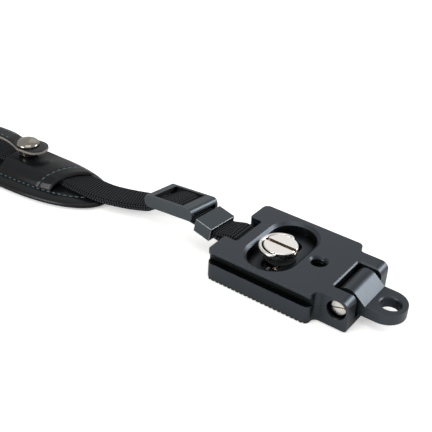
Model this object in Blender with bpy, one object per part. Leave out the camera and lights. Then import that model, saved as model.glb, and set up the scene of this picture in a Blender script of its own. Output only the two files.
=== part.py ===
"""Camera hand grip strap: quick-release plate, hinged lug, webbing, adjuster and leather pad.

The model stands on its camera face, as it lies on a table. All sizes are metres, written in
millimetres times MM. Each sub-part is placed in the plate's own frame: X runs from the plate's
strap end to its lug end, Y across, Z up from the camera face. The root empty moves that frame so
that the object's origin is on the camera face, under the tripod socket.
"""
import math

import bmesh
import bpy
import numpy as np
from mathutils import Matrix, Vector

MM = 0.001

# Clearances
GAP = 0.3 * MM
SEAT = 0.15 * MM

# Quick-release plate
PLATE_LENGTH = 41.4 * MM
PLATE_WIDTH = 38.0 * MM
PLATE_TOP = 12.1 * MM
PLATE_CORNER = 2.3 * MM
RUBBER_HEIGHT = 0.95 * MM
RUBBER_INSET = 0.2 * MM
RIB_PITCH = 1.7 * MM
RIB_GROOVE = 0.65 * MM
RIB_DEPTH = 0.35 * MM
PLATE_UNDERSIDE = RUBBER_HEIGHT + SEAT
DOVETAIL_LIP = 0.9 * MM
DOVETAIL_DEPTH = 2.4 * MM
DOVETAIL_FLOOR = 6.95 * MM
EDGE_BREAK = 0.25 * MM

# Notch for the webbing, and the bar that the webbing turns round
NOTCH_WIDTH = 16.2 * MM
NOTCH_DEPTH = 5.2 * MM
NOTCH_CORNER = 1.0 * MM
BAR_RADIUS = 1.5 * MM
BAR_SEAT_DEPTH = 3.0 * MM
BAR_DROP = 0.3 * MM

# Recess for the camera screw
RECESS_X = PLATE_LENGTH * 19.1 / 41.4
RECESS_TRAVEL = 7.2 * MM
RECESS_RADIUS = 8.65 * MM
RECESS_CHAMFER_WIDTH = 1.2 * MM
RECESS_CHAMFER_DEPTH = 1.0 * MM
RECESS_FLOOR = 7.9 * MM
RECESS_WEB = 2.2 * MM
CLIP_POCKET_RADIUS = 5.2 * MM

# Tripod socket, 1/4 inch
SOCKET_RADIUS = 2.7 * MM
SOCKET_CHAMFER = 0.75 * MM
SOCKET_WALL = 1.3 * MM
SOCKET_X = RECESS_X + RECESS_RADIUS + RECESS_CHAMFER_WIDTH + SOCKET_WALL + SOCKET_CHAMFER + SOCKET_RADIUS
SOCKET_BOTTOM = 3.1 * MM

# Hinge block and its ears
BLOCK_LENGTH = 11.95 * MM
BLOCK_WIDTH = 29.2 * MM
BLOCK_UNDERSIDE = 0.4 * MM
BLOCK_FILLET = 2.0 * MM
BLOCK_END_ROUND = 3.1 * MM
EAR_CORNER = 0.8 * MM
POCKET_START = 3.0 * MM
POCKET_WIDTH = 17.7 * MM
POCKET_CORNER = 0.8 * MM
POCKET_CHAMFER = 0.5 * MM
POCKET_FLOOR = 2.7 * MM

# Hinge
HINGE_FROM_PLATE = 7.7 * MM
HINGE_X = PLATE_LENGTH + HINGE_FROM_PLATE
HINGE_Z = 7.6 * MM
PIN_RADIUS = 1.75 * MM
PIN_HEAD_RADIUS = 2.8 * MM
PIN_HEAD_HEIGHT = 1.2 * MM
PIN_SLOT_WIDTH = 0.5 * MM
PIN_SLOT_DEPTH = 0.5 * MM
PIN_SLOT_TILT = math.radians(15.0)
COUNTERBORE_RADIUS = 3.65 * MM
COUNTERBORE_DEPTH = 2.8 * MM
NUT_BORE_DEPTH = 0.7 * MM
HINGE_WASHER_RADIUS = 3.0 * MM

# Strap lug
LUG_WIDTH = 14.4 * MM
BARREL_RADIUS = 4.4 * MM
LUG_TONGUE_START = 6.6 * MM
LUG_TONGUE_TOP = 7.8 * MM
LUG_TONGUE_BOTTOM = 3.7 * MM
LUG_REACH = 18.3 * MM
LUG_EYE_REACH = 12.55 * MM
LUG_END_X = HINGE_X + LUG_REACH
LUG_HOLE_X = HINGE_X + LUG_EYE_REACH
LUG_HOLE_RADIUS = 3.45 * MM
LUG_HOLE_CHAMFER = 0.55 * MM

# Camera screw, its washer, its clip and its ring
SCREW_Y = -1.3 * MM
SCREW_RADIUS = 3.15 * MM
SCREW_TIP = 0.1 * MM
SCREW_HEAD_RADIUS = 6.1 * MM
SCREW_HEAD_BOTTOM = 10.5 * MM
SCREW_HEAD_TOP = 13.3 * MM
COIN_SLOT_WIDTH = 1.6 * MM
COIN_SLOT_DEPTH = 1.3 * MM
SLIP_WASHER_RADIUS = 5.8 * MM
SLIP_WASHER_HEIGHT = 0.6 * MM
CLIP_RADIUS = 4.6 * MM
CLIP_HEIGHT = 0.8 * MM
CLIP_GROOVE_DEPTH = 0.55 * MM
CLIP_MOUTH_SHARE = 0.8
SCREW_TIP_CHAMFER = 0.6 * MM
RING_WIRE_RADIUS = 0.75 * MM
RING_RADIUS = 7.2 * MM
RING_PIVOT_X = 0.9 * MM
RING_PIVOT_DROP = 0.9 * MM
RING_STUB_DEPTH = 1.3 * MM
RING_BEND = 1.0 * MM
RING_BEND_STEPS = 3

# Keeper loop on the webbing
KEEPER_CENTRE = (-9.9 * MM, -0.6 * MM, 9.4 * MM)
KEEPER_TURN = (math.radians(-1.6), math.radians(10.2), math.radians(-4.4))
KEEPER_LENGTH = 7.5 * MM
KEEPER_WIDTH = 13.45 * MM
KEEPER_HEIGHT = 5.45 * MM
KEEPER_WALL = 0.85 * MM

# Adjuster on the webbing
ADJUSTER_CENTRE = (-26.7 * MM, 1.1 * MM, 11.05 * MM)
ADJUSTER_TURN = (math.radians(-2.4), math.radians(-9.5), math.radians(-6.7))
ADJUSTER_LENGTH = 24.8 * MM
ADJUSTER_WIDTH = 13.95 * MM
ADJUSTER_HEIGHT = 4.85 * MM
ADJUSTER_RAIL = 1.15 * MM
ADJUSTER_LEFT_BAR = 4.4 * MM
ADJUSTER_RIGHT_BAR = 5.2 * MM
ADJUSTER_BAR_HEIGHT = 1.9 * MM
ADJUSTER_CENTRE_BAR = 4.0 * MM
ADJUSTER_CENTRE_BAR_HEIGHT = 1.1 * MM
ADJUSTER_CENTRE_BAR_DROP = 0.1 * MM
ADJUSTER_CENTRE_BAR_SHIFT = 0.8 * MM
ADJUSTER_END_ROUND = 1.9 * MM

# Webbing
WEBBING_WIDTH = 11.0 * MM
WEBBING_THICKNESS = 1.3 * MM
WEBBING_STEP = 1.1 * MM
STRAP_SLACK = ((-44.6 * MM, 0.3 * MM, 5.2 * MM), (-50.6 * MM, -1.9 * MM, 5.0 * MM))

# Pad: a flat leaf of leather over a soft lining
PAD_TIP = (-57.9 * MM, -5.9 * MM)
PAD_YAW = math.radians(3.0)
PAD_LENGTH = 140.0 * MM
PAD_HALF_WIDTH = 16.0 * MM
PAD_TAPER = 40.0 * MM
PAD_TAPER_EXPONENT = 2.2
PAD_END_TRIM = 0.4 * MM
PAD_ARCH = 0.4 * MM
PAD_RIM = 1.2 * MM
PAD_PUFF = 0.6 * MM
LINING_THICKNESS = 0.8 * MM
SEAM_INSET = 5.3 * MM

# Leather tunnel that holds the webbing on the pad, its mouth cut at a slant
STRAP_Y = -4.8 * MM
STRAP_FAR_PATCH_SHARE = 0.6
TUNNEL_START = 18.8 * MM
TUNNEL_END = 48.0 * MM
TUNNEL_SLANT = 0.42
TUNNEL_FREE = 6.0 * MM
TUNNEL_THICKNESS = 1.0 * MM
COVER_MARGIN = 0.9 * MM

# Leather patch over the ends of the webbing, where the press-stud tab starts
PATCH_LENGTH = 26.0 * MM

# Press-stud tab over the webbing
TAB_WIDTH = 10.5 * MM
TAB_WAIST = 6.5 * MM
TAB_WAIST_START = 0.0 * MM
TAB_WAIST_END = 6.5 * MM
TAB_THICKNESS = 1.2 * MM
TAB_YAW = math.radians(6.5)
TAB_BOW = 1.4 * MM
TAB_TIP_FLAT = 0.4 * MM
TAB_ROOT_GAP = 0.6 * MM
TAB_LENGTH = 48.7 * MM
STUD_X = -101.2 * MM
STUD_FROM_END = 9.1 * MM
STUD_CAP_RADIUS = 4.7 * MM
STUD_CAP_HEIGHT = 1.7 * MM
STUD_POST_RADIUS = 2.2 * MM
STUD_POST_HEIGHT = 2.3 * MM
STUD_BASE_RADIUS = 3.6 * MM
STUD_BASE_HEIGHT = 0.3 * MM
SOCKET_RING_RADIUS = 3.9 * MM

# Far end of the webbing
FAR_LOOP_REACH = 20.0 * MM
FAR_LOOP_SWEEP = math.radians(200.0)
FAR_LOOP_TAIL = 8.0 * MM
FAR_LOOP_RADIUS = 4.4 * MM

ARC_STEPS = 10
TURN_STEPS = 40
WASHER_STEPS = 24
WIRE_STEPS = 12

LUG_END = PLATE_LENGTH + BLOCK_LENGTH
LUG_END_RADIUS = LUG_WIDTH / 2


def material(name, colour, roughness, metallic):
    """Make one Principled material from an sRGB hex colour."""
    result = bpy.data.materials.new(name)
    result.use_nodes = True
    shader = result.node_tree.nodes["Principled BSDF"]
    channels = [int(colour[i:i + 2], 16) / 255.0 for i in (1, 3, 5)]
    linear = [c / 12.92 if c <= 0.04045 else ((c + 0.055) / 1.055) ** 2.4 for c in channels]
    shader.inputs["Base Color"].default_value = (*linear, 1.0)
    shader.inputs["Roughness"].default_value = roughness
    shader.inputs["Metallic"].default_value = metallic
    result.diffuse_color = (*linear, 1.0)
    return result


def add_object(name, mesh, look, parent, location=(0, 0, 0), turn=(0, 0, 0)):
    """Link one mesh as a named object under its parent."""
    obj = bpy.data.objects.new(name, mesh)
    bpy.context.scene.collection.objects.link(obj)
    obj.parent = parent
    obj.location = location
    obj.rotation_euler = turn
    if look is not None:
        mesh.materials.append(look)
    return obj


def finish_mesh(bm, name, smooth_angle=math.radians(35.0)):
    """Turn a bmesh into a mesh with outward faces and smooth rounds."""
    bmesh.ops.recalc_face_normals(bm, faces=bm.faces)
    mesh = bpy.data.meshes.new(name)
    bm.to_mesh(mesh)
    bm.free()
    mesh.shade_smooth()
    mesh.set_sharp_from_angle(angle=smooth_angle)
    return mesh


def fillet_outline(corners, steps=ARC_STEPS):
    """Round each corner (x, y, radius) of a closed outline with a tangent arc."""
    points = []
    count = len(corners)
    for i, (x, y, radius) in enumerate(corners):
        here = Vector((x, y))
        if radius <= 0.0:
            points.append(here)
            continue
        before = (Vector(corners[i - 1][:2]) - here).normalized()
        after = (Vector(corners[(i + 1) % count][:2]) - here).normalized()
        half = before.angle(after) / 2
        centre = here + (before + after).normalized() * (radius / math.sin(half))
        start = here + before * (radius / math.tan(half)) - centre
        end = here + after * (radius / math.tan(half)) - centre
        sweep = start.angle_signed(end)
        for k in range(steps + 1):
            turn = Matrix.Rotation(-sweep * k / steps, 2)
            points.append(centre + turn @ start)
    return points


def circle_outline(x, y, radius, steps=TURN_STEPS):
    """A circle as a closed outline."""
    angles = [2 * math.pi * k / steps for k in range(steps)]
    return [Vector((x + radius * math.cos(a), y + radius * math.sin(a))) for a in angles]


def stadium_outline(x, travel, radius, steps=TURN_STEPS // 2):
    """A slot outline whose two round ends lie at y = -travel and y = +travel."""
    points = []
    for end, start in ((1, 0.0), (-1, math.pi)):
        for k in range(steps + 1):
            angle = start + math.pi * k / steps
            points.append(Vector((x + radius * math.cos(angle), end * travel + radius * math.sin(angle))))
    return points


def loft(name, rings, smooth_angle=math.radians(35.0)):
    """Close a solid through rings of 3-D points that have the same count."""
    bm = bmesh.new()
    loops = [[bm.verts.new(p) for p in ring] for ring in rings]
    for low, high in zip(loops, loops[1:]):
        for k in range(len(low)):
            after = (k + 1) % len(low)
            bm.faces.new((low[k], low[after], high[after], high[k]))
    bm.faces.new(list(reversed(loops[0])))
    bm.faces.new(loops[-1])
    return finish_mesh(bm, name, smooth_angle)


def prism(name, levels):
    """A solid through (outline, z) levels that share a point count."""
    return loft(name, [[(p.x, p.y, z) for p in outline] for outline, z in levels])


def prism_y(name, outline, half_width, centre_y=0.0):
    """A solid with an XZ outline, as wide as given along Y."""
    ends = (centre_y - half_width, centre_y + half_width)
    return loft(name, [[(p.x, y, p.y) for p in outline] for y in ends])


def prism_x(name, outline, start, end):
    """A solid with a YZ outline that runs along X."""
    return loft(name, [[(x, p.x, p.y) for p in outline] for x in (start, end)])


def box_mesh(name, low, high):
    """An axis-aligned box between two corners."""
    outline = [Vector((low[0], low[1])), Vector((high[0], low[1])),
               Vector((high[0], high[1])), Vector((low[0], high[1]))]
    return prism(name, [(outline, low[2]), (outline, high[2])])


def rod_y(name, radii, x, z, steps=TURN_STEPS):
    """A turned solid about a Y axis, through (radius, y) stations."""
    rings = []
    for radius, y in radii:
        rings.append([(x + p.x, y, z + p.y) for p in circle_outline(0, 0, radius, steps)])
    return loft(name, rings)


def cut(target, cutter_mesh, operation="DIFFERENCE"):
    """Cut or join a mesh into a target object with an exact Boolean, in the target's frame."""
    cutter = bpy.data.objects.new(cutter_mesh.name, cutter_mesh)
    bpy.context.scene.collection.objects.link(cutter)
    cutter.parent = target
    cutter.hide_render = True
    cutter.display_type = "WIRE"
    step = target.modifiers.new(cutter_mesh.name, "BOOLEAN")
    step.operation = operation
    step.solver = "EXACT"
    step.object = cutter


def build_plate(parent, look):
    """Mill the plate: dovetail sides, notch, screw recess, tripod socket, hinge ears."""
    half, block = PLATE_WIDTH / 2, BLOCK_WIDTH / 2
    notch = NOTCH_WIDTH / 2
    outline = fillet_outline([
        (0, -half, PLATE_CORNER), (PLATE_LENGTH, -half, PLATE_CORNER),
        (PLATE_LENGTH, -block, BLOCK_FILLET), (LUG_END, -block, EAR_CORNER),
        (LUG_END, block, EAR_CORNER), (PLATE_LENGTH, block, BLOCK_FILLET),
        (PLATE_LENGTH, half, PLATE_CORNER), (0, half, PLATE_CORNER),
        (0, notch, NOTCH_CORNER), (NOTCH_DEPTH, notch, NOTCH_CORNER),
        (NOTCH_DEPTH, -notch, NOTCH_CORNER), (0, -notch, NOTCH_CORNER)])
    mesh = prism("quick_release_plate", [(outline, BLOCK_UNDERSIDE), (outline, PLATE_TOP)])
    plate = add_object("quick_release_plate", mesh, look, parent)
    margin = 5.0 * MM

    cut(plate, box_mesh("cut_underside", (-margin, -half - margin, -margin),
                        (PLATE_LENGTH, half + margin, PLATE_UNDERSIDE)))
    neck = half - DOVETAIL_DEPTH
    lip = PLATE_TOP - DOVETAIL_LIP
    for side in (-1, 1):
        groove = [Vector((side * neck, DOVETAIL_FLOOR)), Vector((side * (half + MM), DOVETAIL_FLOOR)),
                  Vector((side * (half + MM), lip + MM)), Vector((side * neck, lip - DOVETAIL_DEPTH))]
        cut(plate, prism_x(f"cut_groove_{side}", groove, -margin, PLATE_LENGTH + BLOCK_FILLET))

    round_x, round_z = LUG_END - BLOCK_END_ROUND, PLATE_TOP - BLOCK_END_ROUND
    end_round = [Vector((round_x, PLATE_TOP + margin)), Vector((LUG_END + margin, PLATE_TOP + margin)),
                 Vector((LUG_END + margin, round_z))]
    for k in range(ARC_STEPS + 1):
        angle = math.pi / 2 * k / ARC_STEPS
        end_round.append(Vector((round_x + BLOCK_END_ROUND * math.cos(angle),
                                 round_z + BLOCK_END_ROUND * math.sin(angle))))
    cut(plate, prism_y("cut_end_round", end_round, half))

    ramp = RECESS_CHAMFER_WIDTH / RECESS_CHAMFER_DEPTH
    cut(plate, prism("cut_recess", [
        (stadium_outline(RECESS_X, RECESS_TRAVEL, RECESS_RADIUS), RECESS_FLOOR),
        (stadium_outline(RECESS_X, RECESS_TRAVEL, RECESS_RADIUS), PLATE_TOP - RECESS_CHAMFER_DEPTH),
        (stadium_outline(RECESS_X, RECESS_TRAVEL, RECESS_RADIUS + RECESS_CHAMFER_WIDTH + MM * ramp),
         PLATE_TOP + MM)]))
    slot = stadium_outline(RECESS_X, RECESS_TRAVEL, SCREW_RADIUS + GAP)
    cut(plate, prism("cut_slot", [(slot, -margin), (slot, RECESS_FLOOR + MM)]))
    clip_pocket = stadium_outline(RECESS_X, RECESS_TRAVEL, CLIP_POCKET_RADIUS)
    cut(plate, prism("cut_clip_pocket", [(clip_pocket, -margin), (clip_pocket, RECESS_FLOOR - RECESS_WEB)]))

    bore = circle_outline(SOCKET_X, 0, SOCKET_RADIUS)
    mouth = circle_outline(SOCKET_X, 0, SOCKET_RADIUS + SOCKET_CHAMFER + MM)
    cut(plate, prism("cut_socket", [(bore, SOCKET_BOTTOM), (bore, PLATE_TOP - SOCKET_CHAMFER),
                                    (mouth, PLATE_TOP + MM)]))

    pocket_x = PLATE_LENGTH + POCKET_START
    rims = []
    levels = ((0, POCKET_FLOOR), (0, PLATE_TOP - POCKET_CHAMFER), (POCKET_CHAMFER + MM, PLATE_TOP + MM))
    for grow, z in levels:
        side = POCKET_WIDTH / 2 + grow
        rims.append((fillet_outline([
            (pocket_x - grow, -side, POCKET_CORNER + grow), (LUG_END + margin, -side, 0),
            (LUG_END + margin, side, 0), (pocket_x - grow, side, POCKET_CORNER + grow)]), z))
    cut(plate, prism("cut_pocket", rims))

    ear_out = BLOCK_WIDTH / 2
    seat = ear_out - COUNTERBORE_DEPTH
    pin_bore = PIN_RADIUS + SEAT
    cut(plate, rod_y("cut_pin_hole", [(pin_bore, -half), (pin_bore, half)], HINGE_X, HINGE_Z))
    for side in (-1, 1):
        cut(plate, rod_y(f"cut_counterbore_{side}", [(COUNTERBORE_RADIUS, side * seat),
                                                     (COUNTERBORE_RADIUS, side * half)], HINGE_X, HINGE_Z))
    bar_reach = NOTCH_WIDTH / 2 + BAR_SEAT_DEPTH + GAP
    bar_x, bar_z = bar_centre()
    cut(plate, rod_y("cut_bar_seat", [(BAR_RADIUS + SEAT, -bar_reach), (BAR_RADIUS + SEAT, bar_reach)],
                     bar_x, bar_z))
    return plate


def bar_centre():
    """The bar sits so that the webbing round it clears the notch wall and ends near the top face."""
    reach = BAR_RADIUS + GAP + SEAT + WEBBING_THICKNESS
    return NOTCH_DEPTH - SEAT - reach, PLATE_TOP - BAR_DROP - reach


def build_bar(parent, look):
    """The steel bar across the notch, pressed into both sides."""
    reach = NOTCH_WIDTH / 2 + BAR_SEAT_DEPTH
    x, z = bar_centre()
    mesh = rod_y("strap_bar", [(BAR_RADIUS, -reach), (BAR_RADIUS, reach)], x, z)
    return add_object("strap_bar", mesh, look, parent)


def build_rubber(parent, look):
    """The ribbed rubber sheet on the camera face."""
    inset = RUBBER_INSET
    half = PLATE_WIDTH / 2 - inset
    notch = NOTCH_WIDTH / 2 + inset
    outline = fillet_outline([
        (inset, -half, PLATE_CORNER - inset), (PLATE_LENGTH - inset, -half, PLATE_CORNER - inset),
        (PLATE_LENGTH - inset, half, PLATE_CORNER - inset), (inset, half, PLATE_CORNER - inset),
        (inset, notch, NOTCH_CORNER), (NOTCH_DEPTH + inset, notch, NOTCH_CORNER),
        (NOTCH_DEPTH + inset, -notch, NOTCH_CORNER), (inset, -notch, NOTCH_CORNER)])
    sheet = prism("rubber_pad", [(outline, 0), (outline, RUBBER_HEIGHT)])
    rubber = add_object("rubber_pad", sheet, look, parent)
    pitch, groove, depth = RIB_PITCH, RIB_GROOVE, RIB_DEPTH
    first = math.ceil((inset - SOCKET_X) / pitch - 0.5)
    last = math.floor((PLATE_LENGTH - inset - SOCKET_X) / pitch - 0.5)
    bm = bmesh.new()
    for k in range(first, last + 1):
        centre = Vector((SOCKET_X + (k + 0.5) * pitch, 0, depth / 2 - MM / 2))
        made = bmesh.ops.create_cube(bm, size=1.0)["verts"]
        bmesh.ops.scale(bm, vec=(groove, PLATE_WIDTH + MM, depth + MM), verts=made)
        bmesh.ops.translate(bm, vec=centre, verts=made)
    cut(rubber, finish_mesh(bm, "cut_grooves"))
    opening = stadium_outline(RECESS_X, RECESS_TRAVEL, CLIP_POCKET_RADIUS + inset)
    cut(rubber, prism("cut_rubber_opening", [(opening, -MM), (opening, RUBBER_HEIGHT + MM)]))
    return rubber


def build_hinge_hardware(parent, metal, plastic):
    """The slotted hinge pin, its slotted nut and the two thin washers beside the lug."""
    seat = BLOCK_WIDTH / 2 - COUNTERBORE_DEPTH - GAP
    head = seat + PIN_HEAD_HEIGHT
    pin = add_object("hinge_pin", rod_y("hinge_pin", [
        (PIN_HEAD_RADIUS, -head), (PIN_HEAD_RADIUS, -seat - GAP), (PIN_RADIUS, -seat - GAP),
        (PIN_RADIUS, seat + GAP + NUT_BORE_DEPTH)], 0, 0), metal, parent, (HINGE_X, 0, HINGE_Z))
    nut_mesh = rod_y("hinge_nut", [(PIN_HEAD_RADIUS, seat + GAP), (PIN_HEAD_RADIUS, head + GAP)], 0, 0)
    nut = add_object("hinge_nut", nut_mesh, metal, parent, (HINGE_X, 0, HINGE_Z))
    bore_end = seat + GAP + NUT_BORE_DEPTH + SEAT
    cut(nut, rod_y("cut_nut_bore", [(PIN_RADIUS + SEAT, 0), (PIN_RADIUS + SEAT, bore_end)], 0, 0))
    for obj, side, tilt in ((pin, -1, PIN_SLOT_TILT), (nut, 1, -PIN_SLOT_TILT)):
        reach = PIN_HEAD_RADIUS + MM
        outer = side * (head + (GAP if side > 0 else 0))
        turn = Matrix.Rotation(tilt, 2)
        slot = [turn @ Vector(p) for p in ((-reach, -PIN_SLOT_WIDTH / 2), (reach, -PIN_SLOT_WIDTH / 2),
                                           (reach, PIN_SLOT_WIDTH / 2), (-reach, PIN_SLOT_WIDTH / 2))]
        cut(obj, prism_y(f"cut_pin_slot_{side}", slot, PIN_SLOT_DEPTH, outer))
    low = LUG_WIDTH / 2 + GAP
    high = POCKET_WIDTH / 2 - GAP
    for name, side in (("hinge_washer_front", -1), ("hinge_washer_back", 1)):
        stations = [(HINGE_WASHER_RADIUS, side * low), (HINGE_WASHER_RADIUS, side * high)]
        washer = add_object(name, rod_y(name, stations, 0, 0, WASHER_STEPS), plastic, parent,
                            (HINGE_X, 0, HINGE_Z))
        bore = [(PIN_RADIUS + SEAT, -POCKET_WIDTH), (PIN_RADIUS + SEAT, POCKET_WIDTH)]
        cut(washer, rod_y(f"cut_{name}", bore, 0, 0, WASHER_STEPS))


def build_lug(parent, look):
    """The strap lug: a barrel on the hinge pin, a sloping face and a round-ended tongue with a hole."""
    shoulder = Vector((LUG_TONGUE_START, LUG_TONGUE_TOP - HINGE_Z))
    floor = LUG_TONGUE_BOTTOM - HINGE_Z
    lean = math.acos(BARREL_RADIUS / shoulder.length) + math.atan2(shoulder.y, shoulder.x)
    meet = math.asin(floor / BARREL_RADIUS)
    steps = TURN_STEPS
    sweep = 2 * math.pi + meet - lean
    side_view = [Vector((BARREL_RADIUS * math.cos(a), BARREL_RADIUS * math.sin(a)))
                 for a in [lean + sweep * k / steps for k in range(steps + 1)]]
    end = LUG_END_X - HINGE_X
    side_view += [Vector((end, floor)), Vector((end, shoulder.y)), shoulder]
    lug = add_object("strap_lug", prism_y("strap_lug", side_view, LUG_WIDTH / 2), look, parent,
                     (HINGE_X, 0, HINGE_Z))
    half, margin = LUG_WIDTH / 2, 3.0 * MM
    centre = end - LUG_END_RADIUS
    arc = [Vector((centre + half * math.sin(a), -half * math.cos(a)))
           for a in [math.pi * k / TURN_STEPS for k in range(TURN_STEPS + 1)]]
    plan = [Vector((-BARREL_RADIUS - margin, half)), Vector((-BARREL_RADIUS - margin, -half))] + arc
    keep = prism("keep_lug_plan", [(plan, -BARREL_RADIUS - margin), (plan, BARREL_RADIUS + margin)])
    cut(lug, keep, "INTERSECT")
    hole = [(LUG_HOLE_RADIUS, floor - MM), (LUG_HOLE_RADIUS, shoulder.y - LUG_HOLE_CHAMFER),
            (LUG_HOLE_RADIUS + LUG_HOLE_CHAMFER + MM, shoulder.y + MM)]
    cut(lug, prism("cut_lug_hole", [(circle_outline(LUG_HOLE_X - HINGE_X, 0, r), z) for r, z in hole]))
    cut(lug, rod_y("cut_lug_pin", [(PIN_RADIUS + GAP, -LUG_WIDTH), (PIN_RADIUS + GAP, LUG_WIDTH)], 0, 0))
    return lug


def build_camera_screw(parent, metal, dark_metal, plastic):
    """The captive camera screw: washer in the recess, clip under it, slotted head and folding ring."""
    slider = add_object("slip_washer", prism("slip_washer", [
        (circle_outline(0, 0, SLIP_WASHER_RADIUS), 0),
        (circle_outline(0, 0, SLIP_WASHER_RADIUS), SLIP_WASHER_HEIGHT)]), plastic, parent,
        (RECESS_X, SCREW_Y, RECESS_FLOOR + SEAT))
    bore = circle_outline(0, 0, SCREW_RADIUS + GAP)
    cut(slider, prism("cut_washer", [(bore, -MM), (bore, SLIP_WASHER_HEIGHT + MM)]))

    clip_top = RECESS_FLOOR - RECESS_WEB - GAP
    clip_z = clip_top - CLIP_HEIGHT
    core = SCREW_RADIUS - CLIP_GROOVE_DEPTH
    clip = add_object("retaining_clip", prism("retaining_clip", [
        (circle_outline(0, 0, CLIP_RADIUS), 0), (circle_outline(0, 0, CLIP_RADIUS), CLIP_HEIGHT)]),
        dark_metal, parent, (RECESS_X, SCREW_Y, clip_z))
    clip_bore = circle_outline(0, 0, core + SEAT)
    cut(clip, prism("cut_clip", [(clip_bore, -MM), (clip_bore, CLIP_HEIGHT + MM)]))
    mouth = core * CLIP_MOUTH_SHARE
    cut(clip, box_mesh("cut_clip_mouth", (-mouth, -2 * CLIP_RADIUS, -MM), (mouth, 0, CLIP_HEIGHT + MM)))

    groove_low, groove_high = clip_z - SEAT, clip_top + SEAT
    stations = [(SCREW_RADIUS - SCREW_TIP_CHAMFER, SCREW_TIP), (SCREW_RADIUS, SCREW_TIP + SCREW_TIP_CHAMFER),
                (SCREW_RADIUS, groove_low), (core, groove_low), (core, groove_high),
                (SCREW_RADIUS, groove_high), (SCREW_RADIUS, SCREW_HEAD_BOTTOM),
                (SCREW_HEAD_RADIUS - EDGE_BREAK, SCREW_HEAD_BOTTOM),
                (SCREW_HEAD_RADIUS, SCREW_HEAD_BOTTOM + EDGE_BREAK),
                (SCREW_HEAD_RADIUS, SCREW_HEAD_TOP - EDGE_BREAK),
                (SCREW_HEAD_RADIUS - EDGE_BREAK, SCREW_HEAD_TOP)]
    screw = add_object("camera_screw", prism("camera_screw", [
        (circle_outline(0, 0, r), z - SCREW_HEAD_TOP) for r, z in stations]), metal, parent,
        (RECESS_X, SCREW_Y, SCREW_HEAD_TOP))
    width = COIN_SLOT_WIDTH / 2
    cut(screw, box_mesh("cut_coin_slot", (-SCREW_HEAD_RADIUS * 2, -width, -COIN_SLOT_DEPTH),
                        (SCREW_HEAD_RADIUS * 2, width, MM)))
    stub_end = SCREW_HEAD_RADIUS - RING_STUB_DEPTH
    hole = RING_WIRE_RADIUS + SEAT
    for side in (-1, 1):
        seat = [(hole, side * stub_end), (hole, side * 2 * SCREW_HEAD_RADIUS)]
        cut(screw, rod_y(f"cut_ring_seat_{side}", seat, RING_PIVOT_X, -RING_PIVOT_DROP, WIRE_STEPS))

    ring = add_object("d_ring", ring_mesh(), metal, parent,
                      (RECESS_X + RING_PIVOT_X, SCREW_Y, SCREW_HEAD_TOP - RING_PIVOT_DROP))
    return screw, ring


def ring_mesh():
    """The folding ring: a mitred wire arc round the head, its ends bent in to the head's pivots."""
    stub = SCREW_HEAD_RADIUS - RING_STUB_DEPTH + GAP
    start = math.acos((RING_PIVOT_X - RING_BEND) / RING_RADIUS)
    arc = [Vector((-RING_PIVOT_X + RING_RADIUS * math.cos(a), -RING_RADIUS * math.sin(a), 0))
           for a in np.linspace(start, 2 * math.pi - start, 25)]
    first = arc[0]
    bend = [Vector((RING_BEND * (math.sin(a) - 1), first.y + RING_BEND * (1 - math.cos(a)), 0))
            for a in np.linspace(math.pi / 2, 0, RING_BEND_STEPS, endpoint=False)]
    inner = [Vector((0, -stub, 0))] + bend
    route = inner + arc + [Vector((p.x, -p.y, 0)) for p in reversed(inner)]
    up = Vector((0, 0, 1))
    runs = [(b - a).normalized() for a, b in zip(route, route[1:])]
    rings = []
    for point, run_in, run_out in zip(route, runs[:1] + runs, runs + runs[-1:]):
        ahead = (run_in + run_out).normalized()
        out = ahead.cross(up) / ahead.dot(run_in)
        section = circle_outline(0, 0, RING_WIRE_RADIUS, WIRE_STEPS)
        rings.append([point + p.x * out + p.y * up for p in section])
    return loft("d_ring", rings)


def build_keeper(parent, look):
    """The plain rectangular sleeve that holds both runs of webbing together."""
    half = (KEEPER_LENGTH / 2, KEEPER_WIDTH / 2, KEEPER_HEIGHT / 2)
    keeper = add_object("keeper_loop", box_mesh("keeper_loop", [-h for h in half], half), look, parent,
                        KEEPER_CENTRE, KEEPER_TURN)
    inner = (KEEPER_LENGTH, half[1] - KEEPER_WALL, half[2] - KEEPER_WALL)
    cut(keeper, box_mesh("cut_keeper", [-h for h in inner], inner))
    return keeper


def adjuster_levels():
    """Underside of the end bars and top of the centre bar, from the frame's mid height."""
    bar_low = ADJUSTER_HEIGHT / 2 - ADJUSTER_BAR_HEIGHT
    return bar_low, bar_low - ADJUSTER_CENTRE_BAR_DROP


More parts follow.
